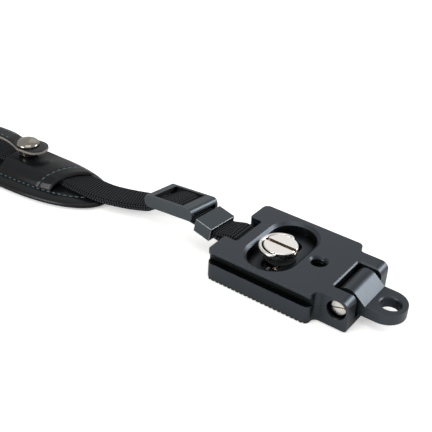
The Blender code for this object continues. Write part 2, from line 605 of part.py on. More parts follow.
def build_adjuster(parent, look):
    """The cast adjuster frame: two end bars on top, and a lower centre bar that the webbing climbs over."""
    length, height = ADJUSTER_LENGTH / 2, ADJUSTER_HEIGHT / 2
    corners = ((-length, -height), (length, -height), (length, height), (-length, height))
    side_view = fillet_outline([(*corner, ADJUSTER_END_ROUND) for corner in corners], 6)
    body = prism_y("adjuster_frame", side_view, ADJUSTER_WIDTH / 2)
    frame = add_object("adjuster_frame", body, look, parent, ADJUSTER_CENTRE, ADJUSTER_TURN)
    inside = ADJUSTER_WIDTH / 2 - ADJUSTER_RAIL
    bar_low, centre_top = adjuster_levels()
    left, right = -length + ADJUSTER_LEFT_BAR, length - ADJUSTER_RIGHT_BAR
    centre_low = centre_top - ADJUSTER_CENTRE_BAR_HEIGHT
    start = (left + right) / 2 + ADJUSTER_CENTRE_BAR_SHIFT - ADJUSTER_CENTRE_BAR / 2
    end = start + ADJUSTER_CENTRE_BAR
    out = length + MM
    opening = [Vector(p) for p in (
        (-out, -height - MM), (start, -height - MM), (start, centre_top), (end, centre_top),
        (end, -height - MM), (out, -height - MM), (out, bar_low), (right, bar_low),
        (right, height + MM), (left, height + MM), (left, bar_low), (-out, bar_low))]
    cut(frame, prism_y("cut_adjuster", opening, inside))
    cut(frame, box_mesh("cut_under_bar", (start - MM, -inside, -height - MM), (end + MM, inside, centre_low)))
    return frame


def turned(location, turn):
    """The frame of a piece that is placed by location and rotation."""
    x, y, z = turn
    rotation = Matrix.Rotation(z, 4, "Z") @ Matrix.Rotation(y, 4, "Y") @ Matrix.Rotation(x, 4, "X")
    return Matrix.Translation(location) @ rotation


def pad_axis(s, t=0.0):
    """The plan point at s along the pad from its tip and t across it."""
    along = Vector((-math.cos(PAD_YAW), -math.sin(PAD_YAW)))
    across = Vector((-math.sin(PAD_YAW), math.cos(PAD_YAW)))
    return Vector(PAD_TIP) + along * s + across * t


def pad_place(x, y):
    """The pad coordinates s and t of a plan point."""
    offset = Vector((x, y)) - Vector(PAD_TIP)
    s = -offset.x * math.cos(PAD_YAW) - offset.y * math.sin(PAD_YAW)
    return s, -offset.x * math.sin(PAD_YAW) + offset.y * math.cos(PAD_YAW)


def pad_half_width(s):
    """The leaf outline: both ends taper to a round point."""
    near = min(max(s, 0.0), max(PAD_LENGTH - s, 0.0))
    share = min(near / PAD_TAPER, 1.0)
    return PAD_HALF_WIDTH * math.sqrt(max(0.0, 1.0 - (1.0 - share) ** PAD_TAPER_EXPONENT))


def pad_floor(s, f):
    """Height of the pad's underside at s along it, f of its half width across it."""
    return GAP + PAD_ARCH * (pad_half_width(s) / PAD_HALF_WIDTH) ** 2 * (1.0 - f * f)


def pad_top(s, f):
    """Height of the pad's upper face."""
    fullness = (pad_half_width(s) / PAD_HALF_WIDTH) ** 2
    return pad_floor(s, f) + LINING_THICKNESS + SEAT + PAD_RIM + PAD_PUFF * fullness * (1.0 - f ** 4)


def pad_surface(x, y):
    """Height of the pad's upper face at a plan point."""
    s, t = pad_place(x, y)
    width = max(pad_half_width(s), 1.0 * MM)
    return pad_top(s, max(-1.0, min(1.0, t / width)))


def leaf_solid(name, low, high, s_range, f_range, s_steps=26, f_steps=10):
    """A closed sheet between two height functions, over a patch of the pad's leaf outline."""
    bm = bmesh.new()
    spacing = [s_range[0] + (s_range[1] - s_range[0]) * (1 - math.cos(math.pi * i / s_steps)) / 2
               for i in range(s_steps + 1)]
    across = [f_range[0] + (f_range[1] - f_range[0]) * j / f_steps for j in range(f_steps + 1)]
    grids = []
    for height in (low, high):
        grid = []
        for s in spacing:
            row = []
            for f in across:
                plan = pad_axis(s, f * pad_half_width(s))
                row.append(bm.verts.new((plan.x, plan.y, height(s, f))))
            grid.append(row)
        grids.append(grid)
    close_grids(bm, grids)
    return finish_mesh(bm, name, math.radians(50.0))


def close_grids(bm, grids):
    """Join a lower and an upper grid of vertices into one closed skin."""
    lower, upper = grids
    rows, columns = len(lower), len(lower[0])
    for i in range(rows - 1):
        for j in range(columns - 1):
            bm.faces.new((lower[i][j], lower[i][j + 1], lower[i + 1][j + 1], lower[i + 1][j]))
            bm.faces.new((upper[i][j], upper[i + 1][j], upper[i + 1][j + 1], upper[i][j + 1]))
    border = [(i, 0) for i in range(rows)]
    border += [(rows - 1, j) for j in range(1, columns)]
    border += [(i, columns - 1) for i in range(rows - 2, -1, -1)]
    border += [(0, j) for j in range(columns - 2, 0, -1)]
    for k, (i, j) in enumerate(border):
        a, b = border[(k + 1) % len(border)]
        bm.faces.new((lower[i][j], lower[a][b], upper[a][b], upper[i][j]))


def build_pad(parent, leather, lining):
    """The padded leather leaf and the softer lining under it."""
    span = (PAD_END_TRIM, PAD_LENGTH - PAD_END_TRIM)
    soft = leaf_solid("pad_lining", pad_floor, lambda s, f: pad_floor(s, f) + LINING_THICKNESS, span, (-1, 1))
    add_object("pad_lining", soft, lining, parent)
    cover = leaf_solid("pad", lambda s, f: pad_floor(s, f) + LINING_THICKNESS + SEAT, pad_top, span, (-1, 1))
    add_object("pad", cover, leather, parent)


def smooth_step(value):
    """Ease from 0 to 1."""
    value = min(max(value, 0.0), 1.0)
    return value * value * (3.0 - 2.0 * value)


def strap_y(x):
    """The webbing's centre line on the pad: straight to the stud, then under the tab."""
    return STRAP_Y + min(0.0, x - STUD_X) * math.tan(TAB_YAW)


def cover_lift(place, low, high):
    """How far a cover stands off the pad at a place, between its seams at low and high."""
    stack = 2 * (WEBBING_THICKNESS + SEAT)
    front = strap_y(place.x) - WEBBING_WIDTH / 2 - COVER_MARGIN
    back = strap_y(place.x) + WEBBING_WIDTH / 2 + COVER_MARGIN
    if place.y < front:
        return SEAT + stack * smooth_step(1.0 - (front - place.y) / min(TUNNEL_FREE, front - low))
    if place.y > back:
        return SEAT + stack * smooth_step(1.0 - (place.y - back) / min(TUNNEL_FREE, high - back))
    return SEAT + stack


def build_cover(name, parent, leather, start, end, slant):
    """A leather cover that is sewn to the pad along its sides and lets the webbing through."""
    bm = bmesh.new()
    rows, columns = 9, 26
    grids = []
    for extra in (0.0, TUNNEL_THICKNESS):
        grid = []
        for i in range(rows + 1):
            row = []
            for j in range(columns + 1):
                side = -1.0 + 2.0 * j / columns
                middle = start + (end - start) * i / rows
                s = middle - slant * side * (pad_half_width(middle) - SEAM_INSET)
                reach = pad_half_width(s) - SEAM_INSET
                plan = pad_axis(s, side * reach)
                seams = [pad_axis(s, edge * reach).y for edge in (-1, 1)]
                height = pad_surface(plan.x, plan.y) + cover_lift(plan, *seams) + extra
                row.append(bm.verts.new((plan.x, plan.y, height)))
            grid.append(row)
        grids.append(grid)
    close_grids(bm, grids)
    return add_object(name, finish_mesh(bm, name, math.radians(50.0)), leather, parent)


def smooth_path(points, per_span=5):
    """A Catmull-Rom curve through the given points."""
    points = [Vector(p) for p in points]
    padded = [points[0] * 2 - points[1]] + points + [points[-1] * 2 - points[-2]]
    path = []
    for a, b, c, d in zip(padded, padded[1:], padded[2:], padded[3:]):
        for k in range(per_span):
            t = k / per_span
            path.append(0.5 * (2 * b + (c - a) * t + (2 * a - 5 * b + 4 * c - d) * t * t
                               + (3 * b - a - 3 * c + d) * t ** 3))
    path.append(points[-1])
    return path


def even_path(path, step, rounds):
    """Space a path's points evenly, then ease its corners by averaging neighbours."""
    lengths = [0.0]
    for a, b in zip(path, path[1:]):
        lengths.append(lengths[-1] + (b - a).length)
    count = max(2, round(lengths[-1] / step))
    even = []
    for target in [lengths[-1] * k / count for k in range(count + 1)]:
        i = min(int(np.searchsorted(lengths, target, side="right")), len(path) - 1)
        share = (target - lengths[i - 1]) / max(lengths[i] - lengths[i - 1], 1e-9)
        even.append(path[i - 1].lerp(path[i], share))
    for _ in range(rounds):
        inside = [(a + 2 * b + c) / 4 for a, b, c in zip(even, even[1:], even[2:])]
        even = [even[0]] + inside + [even[-1]]
    return even


def ribbon(name, path, across, width=WEBBING_WIDTH, thickness=WEBBING_THICKNESS):
    """A flat strip along a path; across gives the strip's width direction at each point."""
    rings = []
    for k, point in enumerate(path):
        ahead = (path[min(k + 1, len(path) - 1)] - path[max(k - 1, 0)]).normalized()
        side = Vector(across(point))
        side = (side - ahead * side.dot(ahead)).normalized()
        normal = ahead.cross(side)
        half_w, half_t = width / 2, thickness / 2
        corners = ((-half_w, -half_t), (half_w, -half_t), (half_w, half_t), (-half_w, half_t))
        rings.append([point + side * a + normal * b for a, b in corners])
    return loft(name, rings)


def strap_side(point):
    """The webbing's width direction: across the plate at its end, across each fitting, across the pad."""
    stations = ((2.0 * MM, 0.0, 0.0), (KEEPER_CENTRE[0], KEEPER_TURN[2], KEEPER_TURN[0]),
                (ADJUSTER_CENTRE[0], ADJUSTER_TURN[2], ADJUSTER_TURN[0]),
                (PAD_TIP[0], 0.0, 0.0))
    yaw, roll = stations[-1][1:]
    for (x0, yaw0, roll0), (x1, yaw1, roll1) in zip(stations, stations[1:]):
        if point.x >= x1:
            share = min(max((x0 - point.x) / (x0 - x1), 0.0), 1.0)
            yaw = yaw0 + (yaw1 - yaw0) * share
            roll = roll0 + (roll1 - roll0) * share
            break
    return (-math.sin(yaw), math.cos(yaw), math.tan(roll))


def strap_run(layer):
    """Centre line of one run from the keeper to the pad; layer is 1 for the upper run, 0 for the lower."""
    pitch = WEBBING_THICKNESS + SEAT
    keeper = turned(KEEPER_CENTRE, KEEPER_TURN)
    adjuster = turned(ADJUSTER_CENTRE, ADJUSTER_TURN)
    offset = (layer - 0.5) * pitch + 0.1 * MM
    points = [keeper @ Vector((u * KEEPER_LENGTH, 0, offset)) for u in (0.6, 0.2, -0.2)]
    half = ADJUSTER_LENGTH / 2
    left, right = -half + ADJUSTER_LEFT_BAR, half - ADJUSTER_RIGHT_BAR
    bar_low, centre_top = adjuster_levels()
    under = bar_low - SEAT - 0.8 * WEBBING_THICKNESS
    over = centre_top + SEAT + 0.7 * WEBBING_THICKNESS
    middle = (left + right) / 2 + ADJUSTER_CENTRE_BAR_SHIFT
    if layer:
        route = [(half - 1.0 * MM, under - 1.2 * MM), (right + 1.6 * MM, under - 0.4 * MM),
                 (right, under - 0.15 * MM), (right - 2.0 * MM, (under + over) / 2),
                 (middle + 3.2 * MM, over), (middle, over + 0.1 * MM), (middle - 3.0 * MM, over - 0.1 * MM),
                 (left + 2.6 * MM, (under + over) / 2), (left + 0.4 * MM, under - 0.1 * MM),
                 (left - 2.0 * MM, under - 0.9 * MM), (-half - 0.2 * MM, under - 2.3 * MM)]
    else:
        drop = pitch + 0.1 * MM
        route = [(half - 1.0 * MM, under - 1.2 * MM - drop), (right, under - 0.4 * MM - drop),
                 (middle, under - 0.2 * MM - drop), (left, under - 0.5 * MM - drop),
                 (left - 2.0 * MM, under - 1.0 * MM - drop), (-half - 0.2 * MM, under - 2.3 * MM - drop)]
    points += [adjuster @ Vector((u, 0, w)) for u, w in route]
    level = (layer - 1) * pitch
    points += [Vector((x, y, z + level)) for x, y, z in STRAP_SLACK]
    height = SEAT + WEBBING_THICKNESS / 2 + layer * pitch
    last = pad_axis(tab_root() + STRAP_FAR_PATCH_SHARE * PATCH_LENGTH).x
    first = PAD_TIP[0] - 1.0 * MM
    count = 22
    for k in range(count):
        x = first + (last - first) * k / (count - 1)
        ease = smooth_step((first - x) / (8.0 * MM))
        y = strap_y(x) + (1.0 - ease) * 0.9 * MM
        points.append(Vector((x, y, pad_surface(x, y) + height)))
    return points


def build_webbing(parent, look):
    """One length of webbing: along the pad, through the fittings, round the bar and back again."""
    bar_x, bar_z = bar_centre()
    radius = BAR_RADIUS + GAP + SEAT + WEBBING_THICKNESS / 2
    turn = [Vector((bar_x + radius * math.cos(a), KEEPER_CENTRE[1], bar_z + radius * math.sin(a)))
            for a in [math.radians(d) for d in (100, 60, 25, -10, -45, -80, -115)]]
    upper = list(reversed(strap_run(1)))
    path = even_path(smooth_path(upper + turn + strap_run(0), 4), WEBBING_STEP, 3)
    return add_object("webbing", ribbon("webbing", path, strap_side), look, parent)


def build_far_loop(parent, look):
    """The plain end loop, for the camera's own strap eyelet."""
    low = SEAT + WEBBING_THICKNESS / 2
    start = tab_root() + STRAP_FAR_PATCH_SHARE * PATCH_LENGTH + 1.5 * MM
    route = []
    for k in range(9):
        s = start + (PAD_LENGTH - 1.0 * MM - start) * k / 8
        x = pad_axis(s).x
        y = strap_y(x) + (pad_axis(s).y - strap_y(x)) * smooth_step(k / 8)
        route.append(Vector((x, y, pad_surface(x, y) + low)))
    level = route[-1].z
    centre = PAD_LENGTH + FAR_LOOP_REACH - FAR_LOOP_RADIUS
    for k in range(11):
        angle = -math.pi / 2 + FAR_LOOP_SWEEP * k / 10
        plan = pad_axis(centre + FAR_LOOP_RADIUS * math.cos(angle))
        route.append(Vector((plan.x, plan.y, level + FAR_LOOP_RADIUS * (1 + math.sin(angle)))))
    sewn = level + WEBBING_THICKNESS + 2 * SEAT
    start, end = PAD_LENGTH + 0.3 * FAR_LOOP_TAIL, PAD_LENGTH - 0.7 * FAR_LOOP_TAIL
    for k in range(4):
        plan = pad_axis(start + (end - start) * k / 3)
        route.append(Vector((plan.x, plan.y, sewn)))
    path = even_path(smooth_path(route, 3), WEBBING_STEP, 2)
    return add_object("far_loop", ribbon("far_loop", path, strap_side), look, parent)


def tab_place(u, v=0.0):
    """The plan point at u along the tab from the stud towards its root, v across it."""
    along = Vector((-math.cos(TAB_YAW), -math.sin(TAB_YAW)))
    across = Vector((-math.sin(TAB_YAW), math.cos(TAB_YAW)))
    return Vector((STUD_X, STRAP_Y)) + along * u + across * v


def tab_root():
    """How far along the pad the tab's root lies."""
    return pad_place(*tab_place(TAB_LENGTH))[0]


def cover_top(x, y):
    """Height of a leather cover's upper face over the webbing."""
    return pad_surface(x, y) + SEAT + 2 * (WEBBING_THICKNESS + SEAT) + TUNNEL_THICKNESS


def tab_profile():
    """Underside of the tab as (u, z) points from its free end to its root."""
    stud = cover_top(STUD_X, STRAP_Y) + 2 * GAP + STUD_BASE_HEIGHT + STUD_POST_HEIGHT
    root_plan = tab_place(TAB_LENGTH)
    root = cover_top(root_plan.x, root_plan.y) - TUNNEL_THICKNESS + SEAT
    high = stud + TAB_BOW
    return [(-STUD_FROM_END, stud), (0.0, stud), (STUD_CAP_RADIUS, stud),
            (2.2 * STUD_CAP_RADIUS, high), (0.45 * TAB_LENGTH, high),
            (0.7 * TAB_LENGTH, root + 0.5 * (high - root)), (TAB_LENGTH - 2.0 * MM, root + 0.1 * MM),
            (TAB_LENGTH, root)]


def tab_mesh(origin):
    """The leather strip along the tab's profile, with a round free end, about its hinge."""
    profile = smooth_path([(u, z, 0) for u, z in tab_profile()], 6)
    tip = profile[0]
    rings = []
    radius = TAB_WIDTH / 2
    stations = [tip.x + radius * (1 - math.cos(math.pi / 2 * k / 7)) for k in range(8)]
    stations += [p.x for p in profile if p.x > tip.x + radius * 1.1]
    for u in stations:
        inward = min(u - tip.x, radius)
        waist = smooth_step((u - TAB_WAIST_START) / (TAB_WAIST_END - TAB_WAIST_START))
        half = max(math.sqrt(radius ** 2 - (radius - inward) ** 2), TAB_TIP_FLAT)
        half -= waist * (TAB_WIDTH - TAB_WAIST) / 2
        low = height_on(profile, u)
        ring = []
        for v, z in ((-half, low), (half, low), (half, low + TAB_THICKNESS), (-half, low + TAB_THICKNESS)):
            plan = tab_place(u, v)
            ring.append(Vector((plan.x, plan.y, z)) - origin)
        rings.append(ring)
    return loft("stud_tab", rings)


def height_on(profile, u):
    """The height of a profile of (u, z) points at u."""
    for a, b in zip(profile, profile[1:]):
        if a.x <= u <= b.x:
            return a.y + (b.y - a.y) * (u - a.x) / (b.x - a.x)
    return profile[-1].y if u > profile[-1].x else profile[0].y


def build_tab(parent, leather, metal):
    """The press-stud tab, hinged where it leaves its patch, and the stud's four parts."""
    root = tab_place(TAB_LENGTH)
    hinge = Vector((root.x, root.y, tab_profile()[-1][1] + TAB_THICKNESS))
    add_object("stud_tab", tab_mesh(hinge), leather, parent, hinge)
    steps = 28
    seat = cover_top(STUD_X, STRAP_Y) + GAP
    place = (STUD_X, STRAP_Y)
    post_top = STUD_BASE_HEIGHT + STUD_POST_HEIGHT
    add_object("stud_post", prism("stud_post", [
        (circle_outline(0, 0, STUD_BASE_RADIUS, steps), 0),
        (circle_outline(0, 0, STUD_BASE_RADIUS, steps), STUD_BASE_HEIGHT),
        (circle_outline(0, 0, STUD_POST_RADIUS, steps), STUD_BASE_HEIGHT),
        (circle_outline(0, 0, STUD_POST_RADIUS, steps), post_top)]), metal, parent, (*place, seat))
    low = STUD_BASE_HEIGHT + GAP
    height = post_top - low
    ring = add_object("stud_socket", prism("stud_socket", [
        (circle_outline(0, 0, SOCKET_RING_RADIUS, steps), 0),
        (circle_outline(0, 0, SOCKET_RING_RADIUS, steps), height)]), metal, parent, (*place, seat + low))
    bore = circle_outline(0, 0, STUD_POST_RADIUS + GAP, steps)
    cut(ring, prism("cut_stud_socket", [(bore, -MM), (bore, height + MM)]))
    edge = 0.4 * MM
    levels = [(circle_outline(0, 0, STUD_CAP_RADIUS, steps), 0)]
    for k in range(6):
        angle = math.pi / 2 * k / 6
        levels.append((circle_outline(0, 0, STUD_CAP_RADIUS * math.cos(angle), steps),
                       edge + (STUD_CAP_HEIGHT - edge) * math.sin(angle)))
    add_object("stud_cap", prism("stud_cap", levels), metal, parent,
               (*place, seat + post_top + GAP + TAB_THICKNESS + GAP))


def main():
    """Build the whole hand strap."""
    for obj in list(bpy.data.objects):
        bpy.data.objects.remove(obj, do_unlink=True)
    root = bpy.data.objects.new("plate_frame", None)
    bpy.context.scene.collection.objects.link(root)
    root.location = (-SOCKET_X, 0, 0)

    anodised = material("anodised_aluminium", "#3F4448", 0.42, 0.75)
    nickel = material("bright_nickel", "#D8D6D2", 0.18, 1.0)
    dark_steel = material("dark_steel", "#2C2D2F", 0.45, 0.9)
    zinc = material("blackened_zinc", "#4A4E52", 0.38, 0.85)
    rubber = material("black_rubber", "#17181A", 0.85, 0.0)
    nylon = material("black_nylon", "#1C1D1F", 0.5, 0.0)
    weave = material("nylon_webbing", "#202225", 0.8, 0.0)
    leather = material("black_leather", "#1E1D1D", 0.48, 0.0)
    suede = material("pad_lining", "#26272A", 0.85, 0.0)

    build_plate(root, anodised)
    build_bar(root, dark_steel)
    build_rubber(root, rubber)
    build_hinge_hardware(root, nickel, nylon)
    build_lug(root, anodised)
    build_camera_screw(root, nickel, dark_steel, nylon)
    build_keeper(root, zinc)
    build_adjuster(root, zinc)
    build_webbing(root, weave)
    build_pad(root, leather, suede)
    build_cover("tunnel_sleeve", root, leather, TUNNEL_START, TUNNEL_END, TUNNEL_SLANT)
    build_cover("tab_patch", root, leather, tab_root() + TAB_ROOT_GAP, tab_root() + PATCH_LENGTH, 0.0)
    build_tab(root, leather, nickel)
    build_far_loop(root, weave)


main()
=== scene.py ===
"""Camera hand grip strap: the dressed model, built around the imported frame.

Sizes are in millimetres in the plate's own frame (X from the strap end to the lug end, Y across, Z up
from the camera face) and turn into the frame's metres as each mesh is finished.
"""
import logging
import math
from collections.abc import Callable, Iterable, Sequence
from dataclasses import dataclass
from enum import Enum

import bmesh
import bpy
import numpy as np
from mathutils import Matrix, Vector


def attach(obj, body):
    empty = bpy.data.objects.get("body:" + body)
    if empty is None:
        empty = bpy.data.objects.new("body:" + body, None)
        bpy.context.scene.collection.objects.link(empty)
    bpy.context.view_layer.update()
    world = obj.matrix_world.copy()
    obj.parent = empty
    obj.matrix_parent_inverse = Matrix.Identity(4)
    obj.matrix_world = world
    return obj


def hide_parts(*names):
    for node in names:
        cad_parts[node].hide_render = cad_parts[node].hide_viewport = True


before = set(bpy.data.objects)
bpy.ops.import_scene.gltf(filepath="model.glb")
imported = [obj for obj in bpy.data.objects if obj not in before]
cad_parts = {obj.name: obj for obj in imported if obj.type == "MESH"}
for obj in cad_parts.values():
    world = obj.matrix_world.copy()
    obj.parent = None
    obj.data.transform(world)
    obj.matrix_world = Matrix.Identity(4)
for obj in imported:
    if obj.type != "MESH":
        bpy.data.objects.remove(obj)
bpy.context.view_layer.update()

log = logging.getLogger("hand_strap")

MM = 0.001
# X of the tripod socket's axis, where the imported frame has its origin
ORIGIN_X = 33.7
# Radians that a Wave texture runs through in one unit at scale 1
WAVE_RADIANS = 20.0
# Two points closer than this are one point of a sheet or a turned piece
SAME_POINT = 1e-4
TO_FRAME = Matrix.Diagonal((MM, MM, MM, 1.0)) @ Matrix.Translation((-ORIGIN_X, 0.0, 0.0))
FROM_FRAME = TO_FRAME.inverted()

Place = Callable[[float, float], Vector]


class Body(Enum):
    """The bodies of the frame that pieces ride on."""

    PLATE = "plate"
    LUG = "lug"
    WASHER = "slip_washer"
    CLIP = "clip"
    SCREW = "screw"
    RING = "ring"
    KEEPER = "keeper"
    TAB = "tab"


class Slot(Enum):
    """The record's material slots."""

    ANODISED = "anodised"
    NICKEL = "nickel"
    DARK_STEEL = "dark_steel"
    ZINC = "zinc"
    RUBBER = "rubber"
    NYLON = "nylon"
    WEBBING = "webbing"
    LEATHER = "leather"
    LINING = "lining"
    THREAD = "thread"


# Finishes


def linear_colour(text: str) -> tuple[float, float, float, float]:
    """Turn an sRGB hex colour into the linear colour that a shader takes.

    Args:
        text: The colour as #RRGGBB.

    Returns:
        Red, green, blue and alpha.
    """
    channels = [int(text[i:i + 2], 16) / 255.0 for i in (1, 3, 5)]
    linear = [c / 12.92 if c <= 0.04045 else ((c + 0.055) / 1.055) ** 2.4 for c in channels]
    return (*linear, 1.0)


def add_node(tree: bpy.types.NodeTree, kind: str, inputs: dict | None = None, **settings) -> bpy.types.Node:
    """Add one node, set its properties, and fill or link its inputs.

    Args:
        tree: The node tree to add to.
        kind: The node's type name.
        inputs: Values or sockets for its inputs, by name or number.
        settings: Properties of the node itself.

    Returns:
        The new node.
    """
    made = tree.nodes.new(kind)
    for key, value in settings.items():
        setattr(made, key, value)
    for key, value in (inputs or {}).items():
        if isinstance(value, bpy.types.NodeSocket):
            tree.links.new(value, made.inputs[key])
        else:
            made.inputs[key].default_value = value
    return made


def start_material(name: str, metallic: float) -> tuple[bpy.types.Material, bpy.types.Node]:
    """Make an empty Principled material.

    Args:
        name: The material's name.
        metallic: 1 for bare metal, 0 for anything else.

    Returns:
        The material and its shader node.
    """
    material = bpy.data.materials.new(name)
    material.use_nodes = True
    shader = material.node_tree.nodes["Principled BSDF"]
    shader.inputs["Metallic"].default_value = metallic
    return material, shader


def scale_of(size_mm: float) -> float:
    """The texture scale at which one feature is as large as the size given.

    Args:
        size_mm: The size of a feature, in millimetres.

    Returns:
        The scale for a texture that reads Object coordinates.
    """
    return 1.0 / (size_mm * MM)


def paint_shade_in_hollows(tree: bpy.types.NodeTree, colour: bpy.types.NodeSocket, hollow: str, reach_mm: float,
                  closed: float, opened: float, least: float = 0.0,
                  own_faces: bool = False) -> bpy.types.NodeSocket:
    """Paint shade into a colour where other faces shut the surface in, as in grooves and sockets.

    Args:
        tree: The node tree to add to.
        colour: The colour of the open surface.
        hollow: The colour of the painted shade deep inside, as #RRGGBB.
        reach_mm: How far away a face still counts, in millimetres.
        closed: The open share at which the hollow colour is full.
        opened: The open share from which the surface is clean.
        least: The share of the clean colour that the deepest place keeps.
        own_faces: Whether only the piece's own faces count.

    Returns:
        The colour with painted shade in its hollows.
    """
    share = add_node(tree, "ShaderNodeAmbientOcclusion", {"Distance": reach_mm * MM}, samples=8,
                     only_local=own_faces)
    depth = add_node(tree, "ShaderNodeMapRange", {"Value": share.outputs["AO"], "From Min": closed,
                                                  "From Max": opened, "To Min": least})
    deep = add_node(tree, "ShaderNodeMix", {"Factor": depth.outputs["Result"], "A": linear_colour(hollow),
                                            "B": colour}, data_type="RGBA")
    return deep.outputs["Result"]


@dataclass(frozen=True)
class CoatedMetal:
    """Metal with a fine blasted or cast grain, edges paler from handling and from a painted highlight, and
    painted shade in its hollows.
    """

    name: str
    colour: str
    rubbed_edge_and_highlight_colour: str
    metallic: float
    roughness: float
    roughness_swing: float
    grain_mm: float
    grain_depth_mm: float
    mottle: float = 0.06
    edge_share: float = 0.8
    cloud_mm: float = 9.0
    recess_mm: float = 6.0

    def make(self) -> bpy.types.Material:
        """Build the material.

        Returns:
            The finished material.
        """
        material, shader = start_material(self.name, self.metallic)
        tree = material.node_tree
        place = add_node(tree, "ShaderNodeTexCoord").outputs["Object"]
        cloud = add_node(tree, "ShaderNodeTexNoise",
                         {"Vector": place, "Scale": scale_of(self.cloud_mm), "Detail": 4.0})
        grain = add_node(tree, "ShaderNodeTexNoise",
                         {"Vector": place, "Scale": scale_of(self.grain_mm), "Detail": 3.0})
        dark = [c * (1.0 - self.mottle) for c in linear_colour(self.colour)[:3]] + [1.0]
        light = [min(1.0, c * (1.0 + self.mottle)) for c in linear_colour(self.colour)[:3]] + [1.0]
        body = add_node(tree, "ShaderNodeMix", {"Factor": cloud.outputs["Fac"], "A": dark, "B": light},
                        data_type="RGBA")
        # Wear and painted highlight: the bevelled edges are lightened towards the edge colour, in patches
        worn_and_lit_edges = add_node(tree, "ShaderNodeAttribute", attribute_name="edge").outputs["Fac"]
        patchy = add_node(tree, "ShaderNodeMapRange", {"Value": cloud.outputs["Fac"], "From Min": 0.3,
                                                       "From Max": 0.7, "To Min": self.edge_share * 0.6,
                                                       "To Max": self.edge_share})
        edge_wear_and_highlight = add_node(tree, "ShaderNodeMath", {0: worn_and_lit_edges, 1: patchy.outputs["Result"]},
                        operation="MULTIPLY")
        shade = add_node(tree, "ShaderNodeMix", {"Factor": edge_wear_and_highlight.outputs[0], "A": body.outputs["Result"],
                                                 "B": linear_colour(self.rubbed_edge_and_highlight_colour)}, data_type="RGBA")
        # Painted shade: grooves and sockets are darkened to nearly black where the piece's own faces close
        # them in
        deep = paint_shade_in_hollows(tree, shade.outputs["Result"], "#000000", self.recess_mm, 0.45, 1.0, 0.04,
                             own_faces=True)
        tree.links.new(deep, shader.inputs["Base Color"])
        rough = add_node(tree, "ShaderNodeMapRange", {
            "Value": grain.outputs["Fac"], "To Min": self.roughness - self.roughness_swing,
            "To Max": self.roughness + self.roughness_swing})
        tree.links.new(rough.outputs["Result"], shader.inputs["Roughness"])
        bump = add_node(tree, "ShaderNodeBump", {"Height": grain.outputs["Fac"], "Strength": 0.6,
                                                 "Distance": self.grain_depth_mm * MM})
        tree.links.new(bump.outputs["Normal"], shader.inputs["Normal"])
        return material


@dataclass(frozen=True)
class TurnedNickel:
    """Bright nickel over a lathe-turned face: faint rings, small dulled specks, and tarnish with painted
    shade in the hollows.
    """

    name: str
    colour: str
    tarnish_and_shade: str
    roughness: float
    centre_mm: tuple[float, float]
    # One radian of the ring pattern, so rings are 1.4 mm apart: much coarser than real ones, to show
    ring_radian_mm: float = 0.22
    ring_depth_mm: float = 0.004
    speck_mm: float = 1.6
    recess_mm: float = 3.0

    def make(self) -> bpy.types.Material:
        """Build the material.

        Returns:
            The finished material.
        """
        material, shader = start_material(self.name, 1.0)
        tree = material.node_tree
        place = add_node(tree, "ShaderNodeTexCoord").outputs["Object"]
        centre = ((self.centre_mm[0] - ORIGIN_X) * MM, self.centre_mm[1] * MM, 0.0)
        about = add_node(tree, "ShaderNodeVectorMath", {0: place, 1: centre}, operation="SUBTRACT")
        rings = add_node(tree, "ShaderNodeTexWave", {
            "Vector": about.outputs[0], "Scale": scale_of(self.ring_radian_mm) / WAVE_RADIANS,
            "Distortion": 0.4, "Detail": 2.0}, wave_type="RINGS", rings_direction="Z")
        specks = add_node(tree, "ShaderNodeTexNoise",
                          {"Vector": place, "Scale": scale_of(self.speck_mm), "Detail": 5.0})
        shade = add_node(tree, "ShaderNodeMix", {
            "Factor": specks.outputs["Fac"], "A": [c * 0.9 for c in linear_colour(self.colour)[:3]] + [1.0],
            "B": linear_colour(self.colour)}, data_type="RGBA")
        # Tarnish and painted shade darken the hollows
        deep = paint_shade_in_hollows(tree, shade.outputs["Result"], self.tarnish_and_shade, self.recess_mm, 0.35, 0.9)
        tree.links.new(deep, shader.inputs["Base Color"])
        rough = add_node(tree, "ShaderNodeMapRange", {"Value": specks.outputs["Fac"],
                                                      "To Min": self.roughness * 0.7,
                                                      "To Max": self.roughness * 1.3})
        tree.links.new(rough.outputs["Result"], shader.inputs["Roughness"])
        bump = add_node(tree, "ShaderNodeBump", {"Height": rings.outputs["Fac"], "Strength": 0.5,
                                                 "Distance": self.ring_depth_mm * MM})
        tree.links.new(bump.outputs["Normal"], shader.inputs["Normal"])
        return material


